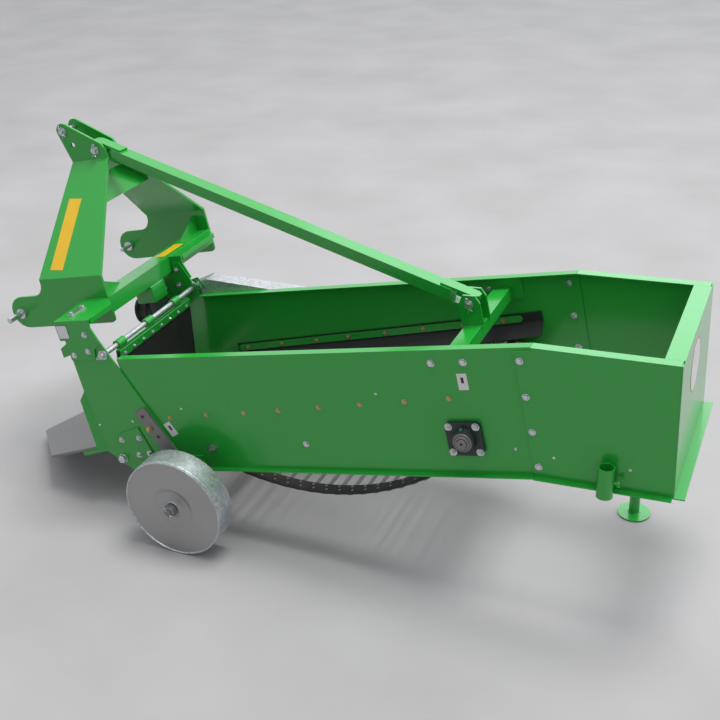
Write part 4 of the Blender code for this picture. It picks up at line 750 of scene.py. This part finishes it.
def film(name, dark, light, **changes):
    """A printed or painted film: the same thin gloss in any colour."""
    return finish(name, dark, light, **{"rough": (0.25, 0.35), "slow": 20.0, "fine": 600.0, "grain": 0.02,
                                        "radius": 0.0002, **changes})


print("flat helpers: plate, rounded, film")

# %% [markdown]
# Each long panel has two small upright labels with a slot in them.  They stay blank: a white film with rounded
# corners, and on it a dark film that paints the shade inside the slot.  Films of every colour share one recipe.

# %% Labels on the long panels
WHITE_LABEL = film("white_label", (0.66, 0.66, 0.66), (0.74, 0.74, 0.74), dusty=0.1)
YELLOW_LABEL = film("yellow_label", (0.72, 0.42, 0.010), (0.80, 0.50, 0.016), dusty=0.1)
# The dark film is the ear label's dark border. In the label slots, the arm's bores and the shaft centres it is
# painted shade.
DARK_FILM_AND_SHADE = film("dark_film_and_painted_shade", (0.012, 0.012, 0.012), (0.02, 0.02, 0.02), rough=(0.4, 0.5))
RED_FILM = film("red_film", (0.50, 0.05, 0.03), (0.60, 0.08, 0.05), rough=(0.3, 0.4))
TEAL_CAP = film("teal_cap", (0.008, 0.075, 0.070), (0.014, 0.11, 0.10), rough=(0.3, 0.4), slow=40.0, fine=900.0,
                grain=0.05, radius=0.0006)
LABEL, INK = 0.0006, 0.0004
for word, side in SIDES.items():
    for tag, u, v, turned in (("rear", 0.171, 0.318, 0.0), ("front", 1.295, 0.150, radians(-25.0))):
        lay = rounded((u, v), (0.016, 0.0275), 0.0015, turned)
        # The dark film on each slot is painted shade: it stands for the shade inside the opening.
        slot_shade = rounded((u, v + 0.005), (0.0045, 0.0095), 0.0015, turned)
        for piece, spots, lift, thick, colour in (("label", lay, 0.0, LABEL, WHITE_LABEL),
                                                  ("slot", slot_shade, LABEL, INK, DARK_FILM_AND_SHADE)):
            plate(f"{piece}_{tag}_{word}", [at(a, side * (PANEL_Y + lift), b) for a, b in spots], (0, side, 0),
                  thick, colour)
print("panel labels laid")

# %% [markdown]
# The A-frame carries two yellow labels and the left lug a small white one.  They stay blank.  The long one lies
# on a sloping face, so its corners are found from how far up the slope they are.

# %% Blank labels and strips of the headstock
EAR_LABEL, EAR_LAYER = (1.612, 0.541), 0.0005
for name, lift, half, radius, colour in (("ear_label_border", 0.0, (0.024, 0.026), 0.003, DARK_FILM_AND_SHADE),
                                         ("ear_label", EAR_LAYER, (0.0222, 0.0242), 0.002, WHITE_LABEL)):
    plate(name, [at(u, BRACKET_Y + lift, v) for u, v in rounded(EAR_LABEL, half, radius)], LEFT, EAR_LAYER, colour)

LEG_LOW, LEG_HIGH = Vector((0, 0.106, 0.670)), Vector((0, -0.213, 1.013))
BEAM_TOP, BRACKET_TOP, STRIP = 0.584, 0.582, 0.004


def on_leg(u, t):
    """A point of the left leg's sloping face: u, and how far up it from the lower fold."""
    p = LEG_LOW.lerp(LEG_HIGH, t)
    return at(u, p.y, p.z)


leg_out = toward(1, 0, 0).cross(toward(*(LEG_HIGH - LEG_LOW))).normalized()
leg_out *= 1 if leg_out.y > 0 else -1
plate("leg_label", [on_leg(1.7826, 0.075), on_leg(1.7231, 0.065), on_leg(1.6982, 0.665), on_leg(1.7580, 0.677)],
      leg_out, LABEL, YELLOW_LABEL)
beam_label = ((1.606, -0.300), (1.563, -0.300), (1.563, -0.440), (1.606, -0.440))
plate("beam_label", [at(u, y, BEAM_TOP) for u, y in beam_label], UP, LABEL, YELLOW_LABEL)
plate("slot_strip", [at(u, y, BRACKET_TOP) for u, y in rounded((1.596, 0.218), (0.014, 0.046), 0.012)], UP, STRIP,
      BOLT_ZINC, roll=0.001)
fasteners("slot_strip_bolts", [(at(1.596, y, BRACKET_TOP + STRIP), UP) for y in (0.188, 0.248)], **M8)
print("headstock labels laid")

# %% [markdown]
# The rear plate has a round blank label with a thin red edge: two discs, one on the other.  Beside each wheel
# arm a patch plate is bolted over the cheek, and the arm has spare holes, which are dark discs, because a bore
# through a bar this thick shows nothing but shadow.

# %% Disc label on the rear plate, patch plates beside the wheel arms
down_rear = toward(0.0701, 0, -0.4192).normalized()
rear_out = down_rear.cross(LEFT)
rear_out *= 1 if rear_out.x < 0 else -1
disc_at = at(-0.4525, 0.031, 0.232)
for tag, radius, lift, colour in (("ring", 0.083, 0.0, RED_FILM), ("disc", 0.079, INK, WHITE_LABEL)):
    rim = [disc_at + rear_out * lift + LEFT * cos(a) * radius + down_rear * sin(a) * radius
           for a in (2 * pi * k / 48 for k in range(48))]
    plate(f"rear_label_{tag}", rim, rear_out, 0.0005, colour, roll=0.0003)
PATCH = [(1.533, 0.132), (1.428, 0.163), (1.398, 0.060), (1.420, 0.036), (1.476, 0.030), (1.500, 0.052)]
PATCH_THICK = 0.005
for word, side in SIDES.items():
    out = Vector((0, side, 0))
    plate(f"patch_{word}", [at(u, side * CHEEK_Y, v) for u, v in PATCH], out, PATCH_THICK, GREEN_PAINT, roll=0.0012)
    fasteners(f"patch_bolts_{word}", row(PATCH_BOLTS, side * (CHEEK_Y + PATCH_THICK), out), Stud=0.003, **M8)
    fasteners(f"arm_bolt_{word}", row([(1.372, 0.160)], side * ARM_Y, out), metal=YELLOW_ZINC, Stud=0.003, **M12)
    for k, spot in enumerate(((1.386, 0.208), (1.346, 0.128))):
        bore = [at(a, side * ARM_Y, b) for a, b in rounded(spot, (0.0065, 0.0065), 0.0064)]
        plate(f"arm_hole_{k}_{word}", bore, out, INK, DARK_FILM_AND_SHADE)
print("labels and plates laid")

# %% [markdown]
# Blind rivets close the spare holes of the panels, and the brackets inside the tub are bolted from their own
# side.

# %% More fasteners
RIVET = {"Across": 0.005, "Head": 0.0016, "Washer": 0.0048, "Plate": 0.0012, "Stud Radius": 0.0016}
SPARE = ((PANEL_Y, [(0.467, 0.281), (0.045, 0.090), (1.222, 0.231)]), (REAR_Y, [(-0.070, 0.064), (-0.290, 0.028)]),
         (CHEEK_Y, [(1.598, 0.170), (1.444, 0.185)]))
for word, side in SIDES.items():
    out = Vector((0, side, 0))
    spots = [place for y, spare in SPARE for place in row(spare, side * y, out)]
    fasteners(f"rivets_{word}", spots, **RIVET)
    fasteners(f"bracket_bolt_{word}", row([(1.213, 0.026)], side * 0.296, out), **M8)
    fasteners(f"cheek_nuts_{word}", row(CHEEK_BOLTS[1:], side * CHEEK_IN, -out), Stud=0.006, **M8)
    fasteners(f"bar_nuts_{word}", row(BAR_BOLTS[:1], side * PANEL_IN, -out), Stud=0.005, **M10)
print("rivets and inner nuts placed")

# %% [markdown]
# ## Small turned parts
#
# Shaft ends, bearing inserts, nuts on the hubs: each is a profile swept round its own axis.

# %% Bearings and hubs
INSERT = [(0.0158, 0.3233), (0.0158, 0.3305), (0.0170, 0.3315), (0.0215, 0.3315), (0.0225, 0.3305),
          (0.0225, 0.3255), (0.0255, 0.3248), (0.0265, 0.3273), (0.0300, 0.3273), (0.0312, 0.3233),
          (0.0158, 0.3233)]
CENTRE = [(0, 0.3350), (0.0042, 0.3350), (0.0042, 0.3354), (0.0030, 0.3352), (0, 0.3341)]
CAP = [(0, 0), (0.0048, 0), (0.0048, 0.004), (0.0062, 0.0045), (0.0062, 0.009), (0.0050, 0.0112), (0, 0.0118)]
HUB_NUT = {"Across": 0.036, "Head": 0.0155, "Washer": 0.0235, "Plate": 0.0025, "Stud Radius": 0.0092}
bearing_at = at(BEARING_U, 0, BEARING_V)
for word, side in SIDES.items():
    # The shallow dish at each shaft's centre is drawn in dark film: painted shade for its centre hole.
    for name, profile, metal, segments in (("bearing_insert", INSERT, BARE_STEEL, 48),
                                           ("shaft_centre_shade", CENTRE, DARK_FILM_AND_SHADE, 24)):
        settle(lathe(f"{name}_{word}", [(r, side * y) for r, y in profile], bearing_at, LEFT, metal, segments),
               "frame")
    settle(lathe(f"grease_cap_{word}", CAP, at(BEARING_U, side * 0.314, BEARING_V + 0.0335),
                 toward(0, side * 0.5, 1), TEAL_CAP, segments=24), "frame")
    fasteners(f"hub_nut_{word}", row([(WHEEL_U, WHEEL_V)], side * 0.4694, Vector((0, side, 0))), metal=BARE_STEEL,
              slot="bare_steel", **HUB_NUT)
print("bearings and hub nuts turned")

# %% [markdown]
# Pins are kept in by split pins: one piece of soft wire, folded into an eye, pushed through a hole and bent
# apart.  A curve with a round bevel is the quickest way to bend wire; its result is kept as a plain mesh.

# %% Bent wire
WIRE = 0.0013


def wire(name, points, body="frame"):
    """Round wire along a smoothed line of world points, as a plain mesh."""
    curve = bpy.data.curves.new(name, "CURVE")
    curve.dimensions = "3D"
    curve.bevel_depth = WIRE
    curve.bevel_resolution = 2
    curve.use_fill_caps = True
    spline = curve.splines.new("BEZIER")
    spline.bezier_points.add(len(points) - 1)
    for knot, point in zip(spline.bezier_points, points):
        knot.co = point
        knot.handle_left_type = knot.handle_right_type = "AUTO"
    spline.resolution_u = 4
    path = bpy.data.objects.new(name + "_path", curve)
    scene.collection.objects.link(path)
    piece = plain_copy(name, path)
    piece.data.materials.clear()
    piece.data.materials.append(BOLT_ZINC)
    return settle(piece, body)


def split_pin(name, middle, way, reach):
    """A split pin through a shaft: an eye on one side, and two legs bent apart on the other."""
    way = Vector(way).normalized()
    side = LEFT.cross(way).normalized()
    eye = middle - way * reach
    return wire(name, [
        middle + way * (reach + 0.010) + side * 0.009, middle + way * (reach + 0.003) + side * 0.002,
        middle + side * 0.0008, eye + side * 0.001, eye - way * 0.007 + side * 0.0045, eye - way * 0.012,
        eye - way * 0.007 - side * 0.0045, eye - side * 0.001, middle - side * 0.0008,
        middle + way * (reach + 0.003) - side * 0.002, middle + way * (reach + 0.012) - side * 0.008])


ROD_U, ROD_V = 1.474, 0.447
for word, side in SIDES.items():
    split_pin(f"hub_pin_{word}", at(WHEEL_U, side * 0.4905, WHEEL_V), toward(-0.5, 0, -1), 0.010)
split_pin("brace_clip_rear", at(0.210, 0.044, 0.459), toward(-0.1, 0, -1), 0.012)
split_pin("brace_clip_front", at(1.656, TOP_LUG_Y, 1.046), toward(0.2, 0, -1), 0.012)
split_pin("top_link_clip", at(1.777, TOP_LUG_Y, 1.131), toward(-0.3, 0, -1), 0.011)
split_pin("rod_clip", at(ROD_U, 0.311, ROD_V), toward(-1.0, 0, 0.4), 0.012)
print("clips bent")

# %% [markdown]
# A small tab is bolted to the inside of the right cheek where the rod ends, and a clip keeps its bolt in.  The
# tab is flat, so `plate` makes it from four corners, and one nut of the cheek shows beside it.

# %% Far end of the curtain's rod
TAB, TAB_THICK, TAB_BOLT = [(1.460, 0.487), (1.4295, 0.494), (1.404, 0.455), (1.449, 0.436)], 0.004, (1.434, 0.470)
fasteners("ear_nut", row(CHEEK_BOLTS[:1], -CHEEK_IN, LEFT), Stud=0.006, **M8)
plate("rod_tab", [at(u, -CHEEK_IN, v) for u, v in TAB], LEFT, TAB_THICK, GREEN_PAINT)
fasteners("tab_bolt", row([TAB_BOLT], -CHEEK_IN + TAB_THICK, LEFT), Stud=0.008, **M6)
split_pin("tab_clip", at(TAB_BOLT[0], -0.2765, TAB_BOLT[1]), toward(-1.0, 0, -0.4), 0.012)
print("turned parts and clips made")

# %% [markdown]
# ## The curtain
#
# A rubber sheet hangs from the flat bar, pinched by a clamp strip and eight bolts, and keeps the crop from
# bouncing out ahead of the web.  Rubber this thick hangs nearly straight, with a slow wave towards its free
# edge, so it is a grid of two skins that are sewn together round the rim.

# %% Curtain of rubber
SHEET_WIDE, SHEET_TOP, SHEET_LOW, SHEET_FRONT, SHEET_THICK = 0.470, 0.0125, 0.300, 0.0143, 0.006
ACROSS, DOWN = 48, 30


def hang(across, down, y):
    """A point of the hanging curtain: behind its rod and below it, straight down in the world."""
    return at(ROD_U, y, ROD_V) + Vector((-across, 0, -down))


def wave(s, t):
    """How far the sheet leaves its plane: s from -1 to 1 over its width, t from 0 at its clamp to 1."""
    free = max(0.0, (t - 0.12) / 0.88) ** 1.5
    return free * (0.0032 * sin(2.6 * pi * s + 0.7) + 0.0022 * sin(5.1 * pi * s + 2.0) + 0.004)


bm = bmesh.new()
skins = []
for face in (0, 1):
    rows = []
    for j in range(DOWN + 1):
        t = j / DOWN
        down = SHEET_TOP + (SHEET_LOW - SHEET_TOP) * t
        rows.append([bm.verts.new(hang(SHEET_FRONT + SHEET_THICK * face + wave(2 * i / ACROSS - 1, t), down,
                                       (i / ACROSS - 0.5) * SHEET_WIDE)) for i in range(ACROSS + 1)])
    for a, b in zip(rows, rows[1:]):
        for i in range(ACROSS):
            bm.faces.new((a[i], a[i + 1], b[i + 1], b[i]))
    skins.append(rows)
rims = [[r[0][:], r[-1][:], [line[0] for line in r], [line[-1] for line in r]] for r in skins]
for near, far in zip(*rims):
    for a, b, c, d in zip(near, near[1:], far[1:], far):
        bm.faces.new((a, b, c, d))
bmesh.ops.recalc_face_normals(bm, faces=bm.faces)
for face in bm.faces:
    face.smooth = True
for edge in bm.edges:
    edge.smooth = edge.calc_face_angle(0) < radians(40)
curtain = settle(object_from("curtain_rubber", bm, RUBBER), "curtain")
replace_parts(curtain, "curtain_sheet")
print("sheet:", len(curtain.data.polygons), "faces")

# %% [markdown]
# Rubber tears round a bare bolt, so a steel strip spreads the clamp over the whole width.  Strip and bolts ride
# on the curtain's body, because they swing with the sheet.

# %% Clamp strip of the curtain
STRIP_LOW, STRIP_THICK, BOLT_STEP, BACKWARD = 0.0445, 0.004, 0.0586, (-1, 0, 0)
back, half = SHEET_FRONT + SHEET_THICK, SHEET_WIDE / 2 - 0.002
corners = ((SHEET_TOP, -half), (SHEET_TOP, half), (STRIP_LOW, half), (STRIP_LOW, -half))
plate("curtain_strip", [hang(back, down, y) for down, y in corners], BACKWARD, STRIP_THICK, GREEN_PAINT,
      body="curtain", roll=0.001)
fasteners("curtain_bolts", [(hang(back + STRIP_THICK, 0.034, 0.205 - BOLT_STEP * k), BACKWARD) for k in range(8)],
          body="curtain", **M6)
print("curtain hung")

# %% [markdown]
# ## Weld beads
#
# A weld is a row of small overlapping ripples.  Each bead is a run of points close together, and Geometry Nodes
# puts one flattened ripple on every point, a little different in size from its neighbours.

# %% Welds
def weld_tree():
    """A flattened ball on each point, a little larger or smaller than the next."""
    tree, given, out = geometry_tree("weld", [("Radius", 0.0030)])
    ripple = add(tree, "GeometryNodeMeshUVSphere", (-900, 100), {
        "Segments": 10, "Rings": 6, "Radius": given.outputs["Radius"]})
    flat = add(tree, "GeometryNodeTransform", (-650, 100), {
        "Geometry": ripple.outputs["Mesh"], "Scale": (0.8, 1.0, 0.6)})
    vary = add(tree, "FunctionNodeRandomValue", (-650, -250), {"Min": 0.85, "Max": 1.15, "Seed": 7},
               data_type="FLOAT")
    return copy_to_points(tree, given, out, flat.outputs["Geometry"], smooth=True, Scale=vary.outputs["Value"])


WELD = weld_tree()


def weld(name, runs, way, body="frame", radius=0.0030):
    """Beads along runs of world points, each run a list of corners."""
    places, turn = [], Vector(way).to_track_quat("Z", "Y")
    for run in runs:
        for a, b in zip(run, run[1:]):
            count = max(2, int((b - a).length / (radius * 0.85)))
            places += [(a.lerp(b, k / count), turn) for k in range(count)]
    return settle(grow(name, places, WELD, Metal=GREEN_PAINT, Radius=radius), body)


print("weld tree:", len(WELD.nodes), "nodes")

# %% [markdown]
# Only welds that show are laid: on the stand's sockets, round its foot, along the lugs of the crossbar and where
# the left bracket meets the cross tube.

# %% Where the beads lie
STAND_X, STAND_Y, SOCKET_Y, SOCKET_LOW, SOCKET_HIGH = -1.0649, -0.3197, 0.2950, 0.500, 0.588
CROSSBAR_TOP, LUG_EDGE = 0.3852, 0.0372
for word, side in SIDES.items():
    socket = Vector((STAND_X, origin.y + side * SOCKET_Y, 0))
    runs = [[socket + Vector((dx, 0, z)) for z in (SOCKET_LOW, SOCKET_HIGH)] for dx in (-0.013, 0.013)]
    weld(f"weld_socket_{word}", runs, (0, side, 0))
foot = Vector((STAND_X, origin.y + STAND_Y, 0.0062))
ring = [foot + Vector((cos(a), sin(a), 0)) * 0.0195 for a in (2 * pi * k / 24 for k in range(25))]
weld("weld_foot", [ring], (0, 0, 1), body="stand")
weld("weld_lugs", [[at(u, y, CROSSBAR_TOP) for u in (0.176, 0.244)] for y in (-LUG_EDGE, LUG_EDGE)], UP)
weld("weld_bracket", [[at(1.552, 0.1072, 0.5822), at(1.645, 0.1072, 0.5822)],
                      [at(1.546, 0.0950, 0.5842), at(1.618, 0.0950, 0.5842)]], UP)
print("welds laid")

# %% [markdown]
# ## Gearbox
#
# The gearbox is a casting, so its corners are full and round, and bosses carry its shafts.  Its lower half, behind
# the guard of the input shaft, is drawn nearly black.  A flat outline drawn out across the machine and bevelled all
# round gives the look of a sand casting with few faces.

# %% Gearbox casting
BOX_LEFT, BOX_RIGHT, INPUT_AT, OUTPUT_AT = -0.133, -0.222, (1.575, -0.195, 0.410), (1.548, -0.222, 0.405)


def casting(name, outline, left, right, round_off, metal):
    """A closed outline in (u, v) drawn out across the machine, with every edge rounded."""
    bm = bmesh.new()
    near, far = ([bm.verts.new(at(u, y, v)) for u, v in outline] for y in (left, right))
    bm.faces.new(near)
    bm.faces.new(far[::-1])
    for a, b, c, d in zip(near, near[1:] + near[:1], far[1:] + far[:1], far):
        bm.faces.new((a, b, c, d))
    bmesh.ops.bevel(bm, geom=list(bm.edges), offset=round_off, segments=3, profile=0.5, affect="EDGES")
    bmesh.ops.recalc_face_normals(bm, faces=bm.faces)
    for face in bm.faces:
        face.smooth = True
    return settle(object_from(name, bm, metal), "frame")


housing = casting("gearbox_housing", [(1.535, 0.5235), (1.618, 0.5235), (1.620, 0.456), (1.535, 0.456)],
                  BOX_LEFT, BOX_RIGHT, 0.005, GREEN_PAINT)
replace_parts(housing, "gearbox")
casting("gearbox_lower", [(1.540, 0.4555), (1.5745, 0.4555), (1.5745, 0.352), (1.552, 0.358), (1.540, 0.385)],
        BOX_LEFT - 0.006, BOX_RIGHT + 0.004, 0.004, CAST_IRON)
flange = [(0, -0.014), (0.049, -0.014), (0.052, -0.011), (0.052, -0.001), (0.050, 0.0), (0, 0.0)]
boss = [(0, 0.001), (0.034, 0.001), (0.034, 0.006), (0.029, 0.009), (0.027, 0.030), (0.022, 0.0345), (0, 0.0345)]
for name, profile, place, way in (("input_flange", flange, INPUT_AT, toward(1, 0, 0)),
                                  ("output_boss", boss, OUTPUT_AT, RIGHT)):
    settle(lathe(name, profile, at(*place), way, CAST_IRON, segments=40), "frame")
print("gearbox cast")

# %% [markdown]
# The guard of the input shaft is moulded plastic, with a thin wall, a rib round its waist and a thick lip.  The
# outline of its wall is closed and then swept round the shaft.

# %% Guard of the input shaft
bell_wall = [(0.028, 0.001), (0.046, 0.001), (0.049, 0.005), (0.0495, 0.028), (0.0515, 0.031), (0.0515, 0.036),
             (0.0500, 0.039), (0.0525, 0.066), (0.0555, 0.070), (0.0555, 0.080), (0.0515, 0.080), (0.0505, 0.070),
             (0.0470, 0.040), (0.0460, 0.008), (0.0430, 0.006), (0.028, 0.006), (0.028, 0.001)]
bell = lathe("shaft_guard", bell_wall, at(*INPUT_AT), toward(1, 0, 0), BLACK_PLASTIC, segments=64)
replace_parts(settle(bell, "frame"), "power_guard")
print("guard of the input shaft:", len(bell.data.polygons), "faces")

# %% [markdown]
# ## The yard
#
# A pale concrete floor and an open sky: one large soft lamp overhead makes the flanges that look up the
# brightest faces, a wide one far behind the machine gives the metal something to reflect, and the world lights
# the rest evenly.

# %% Floor
FLOOR_HALF, DARK_PATCH, LIGHT_PATCH = 30, (0.372, 0.362, 0.358, 1), (0.425, 0.414, 0.415, 1)


def shades(ramp, low, high):
    """Sets the two ends of a colour ramp."""
    ramp.color_ramp.elements[0].color, ramp.color_ramp.elements[1].color = low, high


def concrete():
    """Two close greys that a cloud mixes."""
    made = bpy.data.materials.new("pale_concrete")
    made.use_nodes = True
    tree = made.node_tree
    shader = tree.nodes["Principled BSDF"]
    shader.inputs["Roughness"].default_value = 0.85
    shader.inputs["Specular IOR Level"].default_value = 0.2
    place = add(tree, "ShaderNodeTexCoord", (-900, 0)).outputs["Object"]
    cloud = add(tree, "ShaderNodeTexNoise", (-600, 0), {"Vector": place, "Scale": 1.6, "Detail": 8.0})
    tone = add(tree, "ShaderNodeValToRGB", (-300, 0), {"Fac": cloud.outputs["Fac"]})
    tone.color_ramp.elements[0].position, tone.color_ramp.elements[1].position = 0.3, 0.7
    shades(tone, DARK_PATCH, LIGHT_PATCH)
    plug(tree, tone.outputs["Color"], shader.inputs["Base Color"])
    return made


bm = bmesh.new()
bmesh.ops.create_grid(bm, x_segments=1, y_segments=1, size=FLOOR_HALF)
object_from("floor", bm, concrete())
print("floor laid")

# %% [markdown]
# A dull sky is brighter high up than at the horizon.  A picture of one could light the scene, but a ramp over the
# direction is smaller and has three settings.  The lamps are large discs, so that shadows stay soft.

# %% Lamps and sky
SKY_AXIS, SKY_LEVEL, SKY_STRENGTH = (0, -0.45, 0.75), 0.22, 1.10     # brightest high on the far side
world = bpy.data.worlds.new("open_sky")
scene.world = world
world.use_nodes = True
air = world.node_tree
look = add(air, "ShaderNodeTexCoord", (-900, 0)).outputs["Generated"]
height = add(air, "ShaderNodeVectorMath", (-700, 0), {0: look, 1: SKY_AXIS}, operation="DOT_PRODUCT")
lift = add(air, "ShaderNodeMath", (-550, 0), {0: height.outputs["Value"], 1: SKY_LEVEL}, operation="ADD")
ramp = add(air, "ShaderNodeValToRGB", (-400, 0), {"Fac": lift.outputs["Value"]})
shades(ramp, (0.22, 0.24, 0.26, 1), (1.0, 1.02, 1.06, 1))
air.nodes["Background"].inputs["Strength"].default_value = SKY_STRENGTH
plug(air, ramp.outputs["Color"], air.nodes["Background"].inputs["Color"])


def soft_lamp(name, place, target, size, power, colour=(1, 1, 1)):
    """A round area lamp that looks at its target."""
    light = bpy.data.lights.new(name, "AREA")
    light.shape, light.size, light.energy, light.color = "DISK", size, power, colour
    lamp = bpy.data.objects.new(name, light)
    scene.collection.objects.link(lamp)
    lamp.location = place
    lamp.rotation_euler = (Vector(target) - Vector(place)).to_track_quat("-Z", "Y").to_euler()


soft_lamp("overhead_lamp", (-2.0, -1.0, 11.0), (0, 0, 0.4), 5.0, 880)
soft_lamp("far_lamp", (0.6, -20.0, 11.0), (0, 0, 0.6), 14.0, 700, (0.86, 0.95, 1.0))

# %% [markdown]
# ## Camera
#
# The machine is seen from its left rear, a little from above, as a person standing a few steps away sees it.
# The axes come from three angles: a turn about the vertical, a look down, and the slight roll of a hand-held
# camera.

# %% Camera
CAMERA_FROM = Vector((-1.5194, 3.0840, 2.3577))
CAMERA_TURN, CAMERA_DOWN, CAMERA_ROLL = 0.4289, 0.4867, -0.0422
SENSOR, LENS = 36, 54.56     # millimetres
ahead = Vector((sin(CAMERA_TURN) * cos(CAMERA_DOWN), -cos(CAMERA_TURN) * cos(CAMERA_DOWN), -sin(CAMERA_DOWN)))
level = Vector((-cos(CAMERA_TURN), -sin(CAMERA_TURN), 0))
above = level.cross(ahead)
right = level * cos(CAMERA_ROLL) + above * sin(CAMERA_ROLL)
above = above * cos(CAMERA_ROLL) - level * sin(CAMERA_ROLL)
lens = bpy.data.cameras.new("camera")
lens.sensor_width, lens.lens = SENSOR, LENS
camera = bpy.data.objects.new("camera", lens)
scene.collection.objects.link(camera)
turn = Matrix((right, above, -ahead)).transposed().to_4x4()
camera.matrix_world = Matrix.Translation(CAMERA_FROM) @ turn
scene.camera = camera
scene.view_settings.view_transform = "Standard"
print("camera", [round(c, 2) for c in CAMERA_FROM], "lens", lens.lens)
